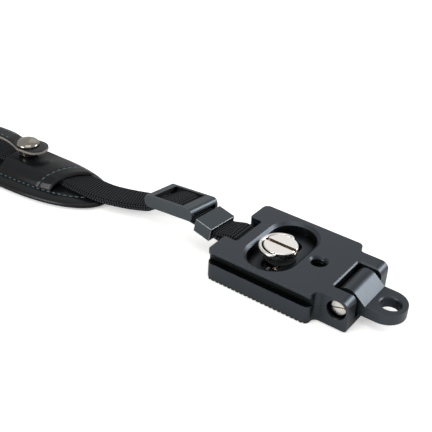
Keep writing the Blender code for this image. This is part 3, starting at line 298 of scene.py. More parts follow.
@dataclass(frozen=True)
class GrainedLeather:
    """Smooth-finished leather: fine pebbled grain, faint creases, a waxy sheen, and paler edges, burnished
    and with a painted highlight.
    """

    name: str
    colour: str
    high_colour: str
    rubbed_edge_and_highlight_colour: str
    roughness: float
    grain_mm: float
    grain_depth_mm: float
    coat: float
    specular: float = 0.2
    # Patches of tone, the creases that bend the pebbles, and the pores, drawn coarser than real ones
    cloud_mm: float = 12.0
    crease_mm: float = 2.5
    crease_shift_mm: float = 0.35
    fine_mm: float = 0.25
    fine_share: float = 0.35

    def make(self) -> bpy.types.Material:
        """Build the material.

        Returns:
            The finished material.
        """
        material, shader = start_material(self.name, 0.0)
        tree = material.node_tree
        place = add_node(tree, "ShaderNodeTexCoord").outputs["Object"]
        bend = add_node(tree, "ShaderNodeTexNoise",
                        {"Vector": place, "Scale": scale_of(self.crease_mm), "Detail": 2.0})
        offset = add_node(tree, "ShaderNodeVectorMath", {0: bend.outputs["Color"],
                                                         "Scale": self.crease_shift_mm * MM},
                          operation="SCALE")
        warped = add_node(tree, "ShaderNodeVectorMath", {0: place, 1: offset.outputs[0]}, operation="ADD")
        pebbles = add_node(tree, "ShaderNodeTexVoronoi", {"Vector": warped.outputs[0],
                                                          "Scale": scale_of(self.grain_mm)},
                           feature="SMOOTH_F1")
        cloud = add_node(tree, "ShaderNodeTexNoise",
                         {"Vector": place, "Scale": scale_of(self.cloud_mm), "Detail": 5.0})
        fine = add_node(tree, "ShaderNodeTexNoise",
                        {"Vector": place, "Scale": scale_of(self.fine_mm), "Detail": 3.0})
        tone = add_node(tree, "ShaderNodeMapRange", {"Value": cloud.outputs["Fac"], "From Min": 0.3,
                                                     "From Max": 0.75})
        skin = add_node(tree, "ShaderNodeMix", {"Factor": tone.outputs["Result"],
                                                "A": linear_colour(self.colour),
                                                "B": linear_colour(self.high_colour)}, data_type="RGBA")
        # Painted highlight on the burnished cut edges: the faces marked edge take the pale edge colour
        edge = add_node(tree, "ShaderNodeAttribute", attribute_name="edge").outputs["Fac"]
        shade = add_node(tree, "ShaderNodeMix", {"Factor": edge, "A": skin.outputs["Result"],
                                                 "B": linear_colour(self.rubbed_edge_and_highlight_colour)}, data_type="RGBA")
        tree.links.new(shade.outputs["Result"], shader.inputs["Base Color"])
        rough = add_node(tree, "ShaderNodeMapRange", {"Value": fine.outputs["Fac"],
                                                      "To Min": self.roughness - 0.08,
                                                      "To Max": self.roughness + 0.1})
        tree.links.new(rough.outputs["Result"], shader.inputs["Roughness"])
        height = add_node(tree, "ShaderNodeMath", {0: fine.outputs["Fac"], 1: self.fine_share,
                                                   2: pebbles.outputs["Distance"]},
                          operation="MULTIPLY_ADD")
        bump = add_node(tree, "ShaderNodeBump", {"Height": height.outputs[0], "Strength": 0.55,
                                                 "Distance": self.grain_depth_mm * MM}, invert=True)
        tree.links.new(bump.outputs["Normal"], shader.inputs["Normal"])
        shader.inputs["Specular IOR Level"].default_value = self.specular
        shader.inputs["Coat Weight"].default_value = self.coat
        shader.inputs["Coat Roughness"].default_value = 0.2
        return material


@dataclass(frozen=True)
class WovenNylon:
    """Nylon webbing: a basket weave of round yarns, read from UVs in millimetres along and across, with
    painted shade in the gaps between the yarns.
    """

    name: str
    colour: str
    gap_shade_colour: str
    roughness: float
    along_mm: float
    across_mm: float
    depth_mm: float
    specular: float = 0.1
    # How square a yarn's crown is; 1 is round
    flatness: float = 0.35
    # Loose fibres, drawn much coarser than real ones
    fuzz_mm: float = 0.22
    fuzz_share: float = 0.25

    def make(self) -> bpy.types.Material:
        """Build the material.

        Returns:
            The finished material.
        """
        material, shader = start_material(self.name, 0.0)
        tree = material.node_tree
        uv = add_node(tree, "ShaderNodeUVMap", uv_map="UVMap").outputs["UV"]
        parts = add_node(tree, "ShaderNodeSeparateXYZ", {0: uv}).outputs
        # Each cell of the weave shows the yarn that runs along or the one that runs across, turn about
        waves, cells = [], []
        for axis, size in (("X", self.along_mm), ("Y", self.across_mm)):
            count = add_node(tree, "ShaderNodeMath", {0: parts[axis], 1: size}, operation="DIVIDE")
            share = add_node(tree, "ShaderNodeMath", {0: count.outputs[0]}, operation="FRACT")
            turn = add_node(tree, "ShaderNodeMath", {0: share.outputs[0], 1: math.pi},
                            operation="MULTIPLY")
            wave = add_node(tree, "ShaderNodeMath", {0: turn.outputs[0]}, operation="SINE")
            cell = add_node(tree, "ShaderNodeMath", {0: count.outputs[0]}, operation="FLOOR")
            waves.append(wave.outputs[0])
            cells.append(cell.outputs[0])
        both = add_node(tree, "ShaderNodeMath", {0: cells[0], 1: cells[1]}, operation="ADD")
        over = add_node(tree, "ShaderNodeMath", {0: both.outputs[0], 1: 1.0}, operation="PINGPONG")
        yarns = []
        for crest, edge in (waves, waves[::-1]):
            flat = add_node(tree, "ShaderNodeMath", {0: crest, 1: self.flatness}, operation="POWER")
            yarn = add_node(tree, "ShaderNodeMath", {0: flat.outputs[0], 1: edge}, operation="MULTIPLY")
            yarns.append(yarn.outputs[0])
        weave = add_node(tree, "ShaderNodeMix", {"Factor": over.outputs[0], "A": yarns[0], "B": yarns[1]})
        height = weave.outputs["Result"]
        place = add_node(tree, "ShaderNodeTexCoord").outputs["Object"]
        fuzz = add_node(tree, "ShaderNodeTexNoise",
                        {"Vector": place, "Scale": scale_of(self.fuzz_mm), "Detail": 3.0})
        # Painted shade: low places between the yarns fade towards the near-black gap colour
        tone = add_node(tree, "ShaderNodeMapRange", {"Value": height, "From Min": 0.5, "From Max": 1.0})
        uneven = add_node(tree, "ShaderNodeMath", {0: fuzz.outputs["Fac"], 1: 0.7, 2: 0.6},
                          operation="MULTIPLY_ADD")
        lit = add_node(tree, "ShaderNodeMath", {0: tone.outputs["Result"], 1: uneven.outputs[0]},
                       operation="MULTIPLY")
        shade = add_node(tree, "ShaderNodeMix", {"Factor": lit.outputs[0],
                                                 "A": linear_colour(self.gap_shade_colour),
                                                 "B": linear_colour(self.colour)}, data_type="RGBA")
        tree.links.new(shade.outputs["Result"], shader.inputs["Base Color"])
        shader.inputs["Roughness"].default_value = self.roughness
        shader.inputs["Specular IOR Level"].default_value = self.specular
        surface = add_node(tree, "ShaderNodeMath", {0: fuzz.outputs["Fac"], 1: self.fuzz_share, 2: height},
                           operation="MULTIPLY_ADD")
        bump = add_node(tree, "ShaderNodeBump", {"Height": surface.outputs[0], "Strength": 0.9,
                                                 "Distance": self.depth_mm * MM})
        tree.links.new(bump.outputs["Normal"], shader.inputs["Normal"])
        return material


@dataclass(frozen=True)
class MouldedPolymer:
    """Rubber, nylon, thread or brushed lining: a matt body with a fine noise grain."""

    name: str
    colour: str
    high_colour: str
    roughness: float
    grain_mm: float
    grain_depth_mm: float
    sheen: float = 0.0
    roughness_swing: float = 0.08

    def make(self) -> bpy.types.Material:
        """Build the material.

        Returns:
            The finished material.
        """
        material, shader = start_material(self.name, 0.0)
        tree = material.node_tree
        place = add_node(tree, "ShaderNodeTexCoord").outputs["Object"]
        grain = add_node(tree, "ShaderNodeTexNoise", {"Vector": place, "Scale": scale_of(self.grain_mm),
                                                      "Detail": 4.0})
        shade = add_node(tree, "ShaderNodeMix", {"Factor": grain.outputs["Fac"],
                                                 "A": linear_colour(self.colour),
                                                 "B": linear_colour(self.high_colour)}, data_type="RGBA")
        tree.links.new(shade.outputs["Result"], shader.inputs["Base Color"])
        rough = add_node(tree, "ShaderNodeMapRange", {"Value": grain.outputs["Fac"],
                                                      "To Min": self.roughness - self.roughness_swing,
                                                      "To Max": min(1.0, self.roughness
                                                                    + self.roughness_swing)})
        tree.links.new(rough.outputs["Result"], shader.inputs["Roughness"])
        bump = add_node(tree, "ShaderNodeBump", {"Height": grain.outputs["Fac"], "Strength": 0.7,
                                                 "Distance": self.grain_depth_mm * MM})
        tree.links.new(bump.outputs["Normal"], shader.inputs["Normal"])
        shader.inputs["Sheen Weight"].default_value = self.sheen
        return material


@dataclass(frozen=True)
class Finishes:
    """Every material of the strap, made once."""

    anodised: bpy.types.Material
    nickel: bpy.types.Material
    stud: bpy.types.Material
    dark_steel: bpy.types.Material
    zinc: bpy.types.Material
    rubber: bpy.types.Material
    nylon: bpy.types.Material
    webbing: bpy.types.Material
    leather: bpy.types.Material
    tab_leather: bpy.types.Material
    lining: bpy.types.Material
    thread: bpy.types.Material

    @classmethod
    def build(cls, screw_centre: tuple[float, float], stud_centre: tuple[float, float]) -> "Finishes":
        """Make all the materials.

        Args:
            screw_centre: The camera screw's axis, which its lathe rings run round.
            stud_centre: The press stud's axis.

        Returns:
            The set of finished materials.
        """
        # Bead-blasted, anodised aluminium: an even grey-black satin with slightly paler edges, worn and with
        # a painted highlight. The real grain is under 0.1 mm and is drawn at 0.16 mm, so that it shows.
        anodised = CoatedMetal("anodised_aluminium", "#40454A", "#7A7F83", metallic=0.9, roughness=0.36,
                               roughness_swing=0.04, grain_mm=0.16, grain_depth_mm=0.01, mottle=0.02)
        # Nickel plate over turned steel: bright streaks in faint lathe rings, brown tarnish with painted
        # shade low in the head
        nickel = TurnedNickel("turned_nickel", "#F4F1EC", "#8F8370", 0.24, screw_centre)
        # Nickel plate over pressed brass, aged: greyer and smoother, dark brown tarnish with painted shade
        # where it is shut in
        stud = TurnedNickel("stud_nickel", "#9C968C", "#2E2A26", 0.14, stud_centre)
        # Oiled steel of the bar and the clip: a dull dark gleam, paler edges worn and with a painted
        # highlight, its grain drawn coarser than it is
        dark_steel = CoatedMetal("dark_steel", "#34363A", "#6A6D70", metallic=1.0, roughness=0.38,
                                 roughness_swing=0.06, grain_mm=0.4, grain_depth_mm=0.012)
        # Cast zinc with a black plate: a soft sheen, and bright edges where the plate wears, with a painted
        # highlight on them. Its cast grain is drawn at 0.3 mm, coarser than it is.
        zinc = CoatedMetal("black_plated_zinc", "#4A5054", "#9A9EA0", metallic=0.9, roughness=0.36,
                           roughness_swing=0.05, grain_mm=0.3, grain_depth_mm=0.012, mottle=0.04)
        # Moulded rubber: matt, its fine texture drawn at 0.35 mm
        rubber = MouldedPolymer("grip_rubber", "#17181A", "#232426", 0.8, 0.35, 0.03)
        # Moulded nylon of the washers: dark and half matt, its texture drawn at 0.5 mm
        nylon = MouldedPolymer("moulded_nylon", "#1D1E20", "#2A2B2D", 0.5, 0.5, 0.01)
        # Woven nylon: matt yarns 1 mm wide, with painted shade, near black, in the gaps between them
        webbing = WovenNylon("nylon_webbing", "#404448", "#010102", roughness=0.75, along_mm=1.05,
                             across_mm=1.0, depth_mm=0.4)
        # Finished leather of pad and sleeve: black, with fine pebbles, a faint waxy coat and paler cut edges
        # that carry a painted highlight
        leather = GrainedLeather("black_leather", "#090A0C", "#0F1114", "#242321", roughness=0.3,
                                 grain_mm=0.75, grain_depth_mm=0.05, coat=0.1)
        # Polished leather of the press-stud tab: smoother and shinier, its cut edges burnished and painted
        # with a pale grey highlight
        tab_leather = GrainedLeather("polished_leather", "#0D0E10", "#17181A", "#807C75", roughness=0.25,
                                     grain_mm=0.6, grain_depth_mm=0.02, coat=0.25)
        # Brushed microfibre: no highlight, its nap drawn coarser than the fibres
        lining = MouldedPolymer("brushed_lining", "#101214", "#181A1D", 0.9, 0.3, 0.06, sheen=0.05)
        # Bonded polyester thread: blue-grey with a faint sheen, its twist drawn as a 0.2 mm grain
        thread = MouldedPolymer("bonded_thread", "#34484E", "#566E74", 0.6, 0.2, 0.02, sheen=0.05)
        return cls(*(finish.make() for finish in (anodised, nickel, stud, dark_steel, zinc, rubber, nylon,
                                                  webbing, leather, tab_leather, lining, thread)))


# Mesh helpers


def add_piece(name: str, bm: bmesh.types.BMesh, material: bpy.types.Material, body: Body, slot: Slot,
              sharp: float = 40.0) -> bpy.types.Object:
    """Turn a bmesh in millimetres into a piece of the model that rides on a body.

    Args:
        name: The piece's name.
        bm: Its mesh, in millimetres in the plate's frame; it is freed.
        material: Its finish.
        body: The body that it rides on.
        slot: The record slot of its finish; not used.
        sharp: Edges that turn by more than this many degrees stay sharp.

    Returns:
        The new object, at the origin.
    """
    bmesh.ops.transform(bm, matrix=TO_FRAME, verts=bm.verts)
    bmesh.ops.recalc_face_normals(bm, faces=bm.faces)
    mesh = bpy.data.meshes.new(name)
    bm.to_mesh(mesh)
    bm.free()
    mesh.shade_smooth()
    mesh.set_sharp_from_angle(angle=math.radians(sharp))
    mesh.materials.append(material)
    piece = bpy.data.objects.new(name, mesh)
    bpy.context.scene.collection.objects.link(piece)
    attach(piece, body.value)
    log.info("%s: %d faces", name, len(mesh.polygons))
    return piece


def layered_sheet(steps: tuple[int, int], lower: Place, upper: Place,
                  uv_of: Callable[[float, float], tuple[float, float]]) -> bmesh.types.BMesh:
    """Make a closed sheet from two grids that share their outline or are bridged around it.

    Args:
        steps: How many rows and columns each grid has.
        lower: Where the underside lies, for shares 0 to 1 along and across.
        upper: Where the upper side lies.
        uv_of: The UV place, in millimetres, of a pair of shares.

    Returns:
        The closed mesh, in millimetres.
    """
    bm = bmesh.new()
    uvs = bm.loops.layers.uv.new("UVMap")
    for place in (lower, upper):
        verts = bmesh.ops.create_grid(bm, x_segments=steps[0], y_segments=steps[1], size=1.0)["verts"]
        shares = {v: ((v.co.x + 1.0) / 2.0, (v.co.y + 1.0) / 2.0) for v in verts}
        for face in {f for v in verts for f in v.link_faces}:
            for loop in face.loops:
                loop[uvs].uv = uv_of(*shares[loop.vert])
        for vert, (a, b) in shares.items():
            vert.co = place(a, b)
    bmesh.ops.remove_doubles(bm, verts=bm.verts, dist=SAME_POINT)
    rim = [e for e in bm.edges if e.is_boundary]
    if rim:
        bmesh.ops.bridge_loops(bm, edges=rim)
    bmesh.ops.recalc_face_normals(bm, faces=bm.faces)
    return bm


def soften_edges(bm: bmesh.types.BMesh, width: float, angle: float = 35.0, segments: int = 2,
                 cut_sides: bool = False) -> None:
    """Bevel the sharp edges of a mesh, and mark the new faces with the attribute edge, which the finishes
    paint paler as wear and a painted highlight.

    Args:
        bm: The mesh, in millimetres.
        width: The bevel's width in millimetres.
        angle: Edges that turn by more than this many degrees are bevelled.
        segments: How many strips the bevel has.
        cut_sides: Whether upright faces are marked too, as the cut edges of a sheet.
    """
    layer = bm.faces.layers.float.new("edge")
    sharp = [e for e in bm.edges if len(e.link_faces) == 2
             and e.calc_face_angle(0.0) > math.radians(angle)]
    made = bmesh.ops.bevel(bm, geom=sharp, offset=width, offset_type="OFFSET", segments=segments,
                           profile=0.5, affect="EDGES", material=-1, clamp_overlap=True)
    for face in made["faces"]:
        face[layer] = 1.0
    if cut_sides:
        bm.normal_update()
        for face in bm.faces:
            if abs(face.normal.z) < 0.5:
                face[layer] = 1.0


def turned_solid(profile: Sequence[tuple[float, float]], centre: tuple[float, float, float],
                 steps: int = 64) -> bmesh.types.BMesh:
    """Turn a (radius, height) outline about an upright axis, as on a lathe.

    Args:
        profile: The outline's points; its first and last lie on the axis.
        centre: Where height 0 of the axis lies, in millimetres.
        steps: How many steps the turn has.

    Returns:
        The closed mesh, in millimetres.
    """
    bm = bmesh.new()
    up = Vector((0.0, 0.0, 1.0))
    across = up.orthogonal().normalized()
    points = [bm.verts.new(Vector(centre) + across * r + up * z) for r, z in profile]
    edges = [bm.edges.new(pair) for pair in zip(points, points[1:])]
    bmesh.ops.spin(bm, geom=points + edges, cent=centre, axis=up, angle=2.0 * math.pi, steps=steps,
                   use_merge=True, use_duplicate=False)
    bmesh.ops.remove_doubles(bm, verts=bm.verts, dist=SAME_POINT)
    return bm


def screw_ridge(radius: float, depth: float, pitch: float, turns: float, start: tuple[float, float, float],
                steps: int = 32) -> bmesh.types.BMesh:
    """Wind one thread ridge about a vertical axis.

    Args:
        radius: Where the ridge's foot lies.
        depth: How far it stands out from there; inwards if negative.
        pitch: The rise of one turn.
        turns: How many turns it has.
        start: The axis point at the ridge's lower end.
        steps: How many steps one turn has.

    Returns:
        The closed mesh, in millimetres.
    """
    bm = bmesh.new()
    # The ridge's outline: its foot, its narrow crest and its foot again, as shares of the pitch
    section = ((0.0, 0.08), (depth, 0.46), (depth, 0.54), (0.0, 0.92))
    points = [bm.verts.new(Vector(start) + Vector((radius + out, 0.0, rise * pitch)))
              for out, rise in section]
    face = bm.faces.new(points)
    count = round(steps * turns)
    bmesh.ops.spin(bm, geom=[face], cent=start, axis=(0.0, 0.0, 1.0), dvec=(0.0, 0.0, pitch * turns / count),
                   angle=2.0 * math.pi * turns, steps=count, use_duplicate=False)
    bmesh.ops.holes_fill(bm, edges=[e for e in bm.edges if e.is_boundary])
    return bm


def smooth_step(value: float) -> float:
    """Ease from 0 to 1.

    Args:
        value: The share; outside 0 to 1 it is held at the end.

    Returns:
        The eased share.
    """
    value = min(max(value, 0.0), 1.0)
    return value * value * (3.0 - 2.0 * value)


def smooth_path(points: Iterable[Sequence[float]], per_span: int) -> list[Vector]:
    """Draw a Catmull-Rom curve through points.

    Args:
        points: The points that the curve passes.
        per_span: How many steps lie between two of them.

    Returns:
        The curve's points.
    """
    points = [Vector(p) for p in points]
    padded = [points[0] * 2 - points[1]] + points + [points[-1] * 2 - points[-2]]
    path = []
    for a, b, c, d in zip(padded, padded[1:], padded[2:], padded[3:]):
        for k in range(per_span):
            t = k / per_span
            path.append(0.5 * (2 * b + (c - a) * t + (2 * a - 5 * b + 4 * c - d) * t * t
                               + (3 * b - a - 3 * c + d) * t ** 3))
    path.append(points[-1])
    return path


def even_path(path: Sequence[Vector], step: float, rounds: int) -> list[Vector]:
    """Space a path's points evenly, then ease its corners by averaging neighbours.

    Args:
        path: The path to space.
        step: The distance between two points.
        rounds: How often neighbours are averaged.

    Returns:
        The new path.
    """
    lengths = [0.0]
    for a, b in zip(path, path[1:]):
        lengths.append(lengths[-1] + (b - a).length)
    count = max(2, round(lengths[-1] / step))
    even = []
    for target in [lengths[-1] * k / count for k in range(count + 1)]:
        i = min(int(np.searchsorted(lengths, target, side="right")), len(path) - 1)
        share = (target - lengths[i - 1]) / max(lengths[i] - lengths[i - 1], 1e-9)
        even.append(path[i - 1].lerp(path[i], share))
    for _ in range(rounds):
        inside = [(a + 2 * b + c) / 4 for a, b, c in zip(even, even[1:], even[2:])]
        even = [even[0]] + inside + [even[-1]]
    return even


# Shapes that the soft pieces share


@dataclass(frozen=True)
class PadShape:
    """The leaf that the pad is cut to, and the heights of its faces, as in the frame."""

    # Where the tip lies, and how far the leaf is turned from the plate's X
    tip_x: float = -57.9
    tip_y: float = -5.6
    yaw: float = math.radians(3.0)
    # The leaf's outline: its full width begins one taper from each end
    length: float = 140.0
    half_width: float = 16.0
    taper: float = 40.0
    exponent: float = 2.45
    # Heights: hollow below, leather at the rim, extra padding in the middle, lining, and small clearances
    arch: float = 0.4
    rim: float = 1.2
    puff: float = 0.6
    lining: float = 0.8
    ground: float = 0.3
    seat: float = 0.15
    # How far inside the outline the seam runs
    seam: float = 5.3

    def axis(self, s: float, t: float = 0.0) -> Vector:
        """The plan point at s along the pad and t across it.

        Args:
            s: Distance from the tip.
            t: Distance from the centre line, towards +Y.

        Returns:
            The point, as X and Y.
        """
        along = Vector((-math.cos(self.yaw), -math.sin(self.yaw)))
        across = Vector((-math.sin(self.yaw), math.cos(self.yaw)))
        return Vector((self.tip_x, self.tip_y)) + along * s + across * t

    def place(self, x: float, y: float) -> tuple[float, float]:
        """The pad coordinates of a plan point.

        Args:
            x: Its X.
            y: Its Y.

        Returns:
            The distances s along and t across.
        """
        dx, dy = x - self.tip_x, y - self.tip_y
        c, s = math.cos(self.yaw), math.sin(self.yaw)
        return -dx * c - dy * s, -dx * s + dy * c

    def width(self, s: float) -> float:
        """Half the leaf's width at s.

        Args:
            s: Distance from the tip.

        Returns:
            The half width.
        """
        near = min(max(s, 0.0), max(self.length - s, 0.0))
        share = min(near / self.taper, 1.0)
        return self.half_width * math.sqrt(max(0.0, 1.0 - (1.0 - share) ** self.exponent))

    def floor(self, s: float, f: float) -> float:
        """Height of the underside.

        Args:
            s: Distance from the tip.
            f: Share of the half width, -1 to 1.

        Returns:
            The height.
        """
        return self.ground + self.arch * (self.width(s) / self.half_width) ** 2 * (1.0 - f * f)

    def top(self, s: float, f: float) -> float:
        """Height of the upper face before seams and rolled edges.

        Args:
            s: Distance from the tip.
            f: Share of the half width, -1 to 1.

        Returns:
            The height.
        """
        fullness = (self.width(s) / self.half_width) ** 2
        return self.floor(s, f) + self.lining + self.seat + self.rim + self.puff * fullness * (1.0 - f ** 4)

    def surface(self, x: float, y: float) -> float:
        """Height of the upper face at a plan point.

        Args:
            x: Its X.
            y: Its Y.

        Returns:
            The height.
        """
        s, t = self.place(x, y)
        return self.top(s, max(-1.0, min(1.0, t / max(self.width(s), 1.0))))

    def outline(self, inset: float = 0.0, count: int = 480) -> list[Vector]:
        """The leaf's outline, or a line inside it.

        Args:
            inset: How far inside the outline the line runs.
            count: How many points it has.

        Returns:
            Points (s, t) around the leaf.
        """
        edge = []
        for k in range(count):
            angle = 2.0 * math.pi * k / count
            s = self.length / 2.0 * (1.0 - math.cos(angle))
            edge.append(Vector((s, math.copysign(self.width(s), math.sin(angle)))))
        if inset <= 0.0:
            return edge
        line = []
        for before, here, after in zip(edge[-1:] + edge, edge, edge[1:] + edge[:1]):
            run = (after - before).normalized()
            inner = here + Vector((run.y, -run.x)) * -inset
            other = here + Vector((run.y, -run.x)) * inset
            middle = Vector((self.length / 2.0, 0.0))
            line.append(inner if (inner - middle).length < (other - middle).length else other)
        reach = inset * 0.98
        return [p for p in line if min((p - e).length for e in edge) > reach]


@dataclass(frozen=True)
class Fitting:
    """A metal fitting on the webbing: its place, its turn in degrees about X, Y and Z, and its size."""

    centre: tuple[float, float, float]
    turn: tuple[float, float, float]
    length: float
    height: float

    def matrix(self) -> Matrix:
        """The fitting's own frame.

        Returns:
            The matrix from the fitting's frame to the plate's.
        """
        x, y, z = (math.radians(a) for a in self.turn)
        return (Matrix.Translation(self.centre) @ Matrix.Rotation(z, 4, "Z") @ Matrix.Rotation(y, 4, "Y")
                @ Matrix.Rotation(x, 4, "X"))


@dataclass(frozen=True)
class StrapRoute:
    """Where the webbing runs: from the pad through adjuster and keeper, round the bar and back."""

    pad: PadShape = PadShape()
    keeper: Fitting = Fitting((-9.9, -0.6, 9.4), (-1.6, 10.2, -4.4), 7.5, 5.45)
    adjuster: Fitting = Fitting((-26.7, 1.1, 11.05), (-2.4, -9.5, -6.7), 24.8, 4.85)
    # The webbing, the spacing of its route's points, and the clearances round it
    width: float = 11.0
    thickness: float = 1.3
    coarse_step: float = 1.1
    fine_step: float = 0.3
    seat: float = 0.15
    gap: float = 0.3
    # The bar in the plate's notch, and the angles at which the webbing's turn round it has points
    bar_x: float = 1.8
    bar_z: float = 8.55
    bar_radius: float = 1.5
    bar_angles: tuple[float, ...] = (100.0, 60.0, 25.0, -10.0, -45.0, -80.0, -115.0)
    # The adjuster's two end bars and its lower centre bar
    end_bars: tuple[float, float] = (4.4, 5.2)
    bar_height: float = 1.9
    centre_drop: float = 0.1
    centre_shift: float = 0.8
    # Two points of the hanging stretch between adjuster and pad
    slack: tuple[tuple[float, float, float], ...] = ((-44.6, 0.3, 5.2), (-50.6, -1.9, 5.0))
    # The stud, the tab that runs back from it, and the patch that the tab starts from
    strap_y: float = -4.8
    stud_x: float = -101.2
    tab_yaw: float = math.radians(6.5)
    tab_length: float = 48.7
    patch_length: float = 26.0
    patch_share: float = 0.6
    # On the pad the route has this many points, and near the tip it is a little to the back
    pad_stations: int = 22
    mouth_run: float = 8.0
    mouth_shift: float = 0.9
    # The end loop: its bend, how far it reaches past the pad, and where its sewn end lies
    loop_radius: float = 4.4
    loop_reach: float = 20.0
    loop_turn: float = math.radians(200.0)
    loop_sewn: tuple[float, float] = (2.4, -5.6)

    def line_y(self, x: float) -> float:
        """The webbing's centre line on the pad.

        Args:
            x: The X to look at.

        Returns:
            The line's Y there.
        """
        return self.strap_y + min(0.0, x - self.stud_x) * math.tan(self.tab_yaw)

    def tab_place(self, u: float, v: float = 0.0) -> Vector:
        """The plan point on the press-stud tab.

        Args:
            u: Distance from the stud towards the tab's root.
            v: Distance across the tab.

        Returns:
            The point, as X and Y.
        """
        c, s = math.cos(self.tab_yaw), math.sin(self.tab_yaw)
        return Vector((self.stud_x, self.strap_y)) + Vector((-c, -s)) * u + Vector((-s, c)) * v

    def tab_root(self) -> float:
        """How far along the pad the tab's root lies.

        Returns:
            The distance s.
        """
        return self.pad.place(*self.tab_place(self.tab_length))[0]

    def side(self, point: Vector) -> Vector:
        """The webbing's width direction at a point of its route.

        Args:
            point: The point.

        Returns:
            The direction, not normalised.
        """
        stations = [(2.0, 0.0, 0.0)]
        stations += [(f.centre[0], math.radians(f.turn[2]), math.radians(f.turn[0]))
                     for f in (self.keeper, self.adjuster)]
        stations.append((self.pad.tip_x, 0.0, 0.0))
        yaw, roll = stations[-1][1:]
        for (x0, yaw0, roll0), (x1, yaw1, roll1) in zip(stations, stations[1:]):
            if point.x >= x1:
                share = min(max((x0 - point.x) / (x0 - x1), 0.0), 1.0)
                yaw, roll = yaw0 + (yaw1 - yaw0) * share, roll0 + (roll1 - roll0) * share
                break
        return Vector((-math.sin(yaw), math.cos(yaw), math.tan(roll)))

    def run(self, layer: int) -> list[Vector]:
        """Way-points of one run from the keeper to the webbing's end.

        Args:
            layer: 1 for the upper run, 0 for the lower.

        Returns:
            The way-points.
        """
        pitch = self.thickness + self.seat
        keeper, adjuster = self.keeper.matrix(), self.adjuster.matrix()
        offset = (layer - 0.5) * pitch + 0.1
        points = [keeper @ Vector((u * self.keeper.length, 0, offset)) for u in (0.6, 0.2, -0.2)]
        half = self.adjuster.length / 2
        left, right = -half + self.end_bars[0], half - self.end_bars[1]
        bar_low = self.adjuster.height / 2 - self.bar_height
        under = bar_low - self.seat - 0.8 * self.thickness
        over = bar_low - self.centre_drop + self.seat + 0.7 * self.thickness
        middle = (left + right) / 2 + self.centre_shift
        # Way-points (along, up) in the adjuster's frame, which follow the webbing's curve in the photo
        if layer:
            # The upper run passes over the centre bar and under both end bars
            route = [(half - 1.0, under - 1.2), (right + 1.6, under - 0.4), (right, under - 0.15),
                     (right - 2.0, (under + over) / 2), (middle + 3.2, over), (middle, over + 0.1),
                     (middle - 3.0, over - 0.1), (left + 2.6, (under + over) / 2), (left + 0.4, under - 0.1),
                     (left - 2.0, under - 0.9), (-half - 0.2, under - 2.3)]
        else:
            # The lower run passes below all three bars
            drop = pitch + 0.1
            route = [(half - 1.0, under - 1.2 - drop), (right, under - 0.4 - drop),
                     (middle, under - 0.2 - drop), (left, under - 0.5 - drop),
                     (left - 2.0, under - 1.0 - drop), (-half - 0.2, under - 2.3 - drop)]
        points += [adjuster @ Vector((u, 0, w)) for u, w in route]
        level = (layer - 1) * pitch
        points += [Vector((x, y, z + level)) for x, y, z in self.slack]
        height = self.seat + self.thickness / 2 + layer * pitch
        last = self.pad.axis(self.tab_root() + self.patch_share * self.patch_length).x
        first = self.pad.tip_x - 1.0
        for k in range(self.pad_stations):
            x = first + (last - first) * k / (self.pad_stations - 1)
            y = self.line_y(x) + (1.0 - smooth_step((first - x) / self.mouth_run)) * self.mouth_shift
            points.append(Vector((x, y, self.pad.surface(x, y) + height)))
        return points

    def path(self) -> list[Vector]:
        """The whole centre line, from the upper end round the bar to the lower end.

        Returns:
            The path's points, about 0.3 mm apart.
        """
        radius = self.bar_radius + self.gap + self.seat + self.thickness / 2
        turn = []
        for degrees in self.bar_angles:
            a = math.radians(degrees)
            turn.append(Vector((self.bar_x + radius * math.cos(a), self.keeper.centre[1],
                                self.bar_z + radius * math.sin(a))))
        whole = list(reversed(self.run(1))) + turn + self.run(0)
        coarse = even_path(smooth_path(whole, 4), self.coarse_step, 3)
        return even_path(smooth_path(coarse, 4), self.fine_step, 2)

    def loop_path(self) -> list[Vector]:
        """The centre line of the sewn end loop.

        Returns:
            The path's points, about 0.3 mm apart.
        """
        pad = self.pad
        low = self.seat + self.thickness / 2
        start = self.tab_root() + self.patch_share * self.patch_length + 1.5
        route = []
        for k in range(9):
            s = start + (pad.length - 1.0 - start) * k / 8
            x = pad.axis(s).x
            y = self.line_y(x) + (pad.axis(s).y - self.line_y(x)) * smooth_step(k / 8)
            route.append(Vector((x, y, pad.surface(x, y) + low)))
        level, radius = route[-1].z, self.loop_radius
        centre = pad.length + self.loop_reach - radius
        for k in range(11):
            angle = -math.pi / 2 + self.loop_turn * k / 10
            plan = pad.axis(centre + radius * math.cos(angle))
            route.append(Vector((plan.x, plan.y, level + radius * (1 + math.sin(angle)))))
        sewn = level + self.thickness + 2 * self.seat
        start, end = (pad.length + offset for offset in self.loop_sewn)
        for k in range(4):
            plan = pad.axis(start + (end - start) * k / 3)
            route.append(Vector((plan.x, plan.y, sewn)))
        coarse = even_path(smooth_path(route, 3), self.coarse_step, 2)
        return even_path(smooth_path(coarse, 4), self.fine_step, 2)


# Stitching


@dataclass(frozen=True)
class StitchRow:
    """One row of sewing: short lengths of thread that dip into the leather at both ends."""

    pitch: float = 2.4
    length: float = 1.75
    thread: float = 0.46

    def sew(self, bm: bmesh.types.BMesh, line: Sequence[Vector]) -> None:
        """Lay stitches along a line.

        Args:
            bm: The mesh to add the stitches to, in millimetres.
            line: Points of the line, on the surface.
        """
        path = even_path(line, self.pitch / 6.0, 0)
        for k in range(3, len(path) - 3, 6):
            run = path[k + 2] - path[k - 2]
            if run.length < 1e-6:
                continue
            ahead = run.normalized()
            side = Vector((0.0, 0.0, 1.0)).cross(ahead).normalized()
            turn = Matrix((ahead, side, ahead.cross(side))).transposed().to_4x4()
            size = Matrix.Diagonal((self.length / 2, self.thread / 2, self.thread / 2, 1.0))
            bmesh.ops.create_uvsphere(bm, u_segments=10, v_segments=8, radius=1.0,
                                      matrix=Matrix.Translation(path[k]) @ turn @ size)


# Sub-assemblies


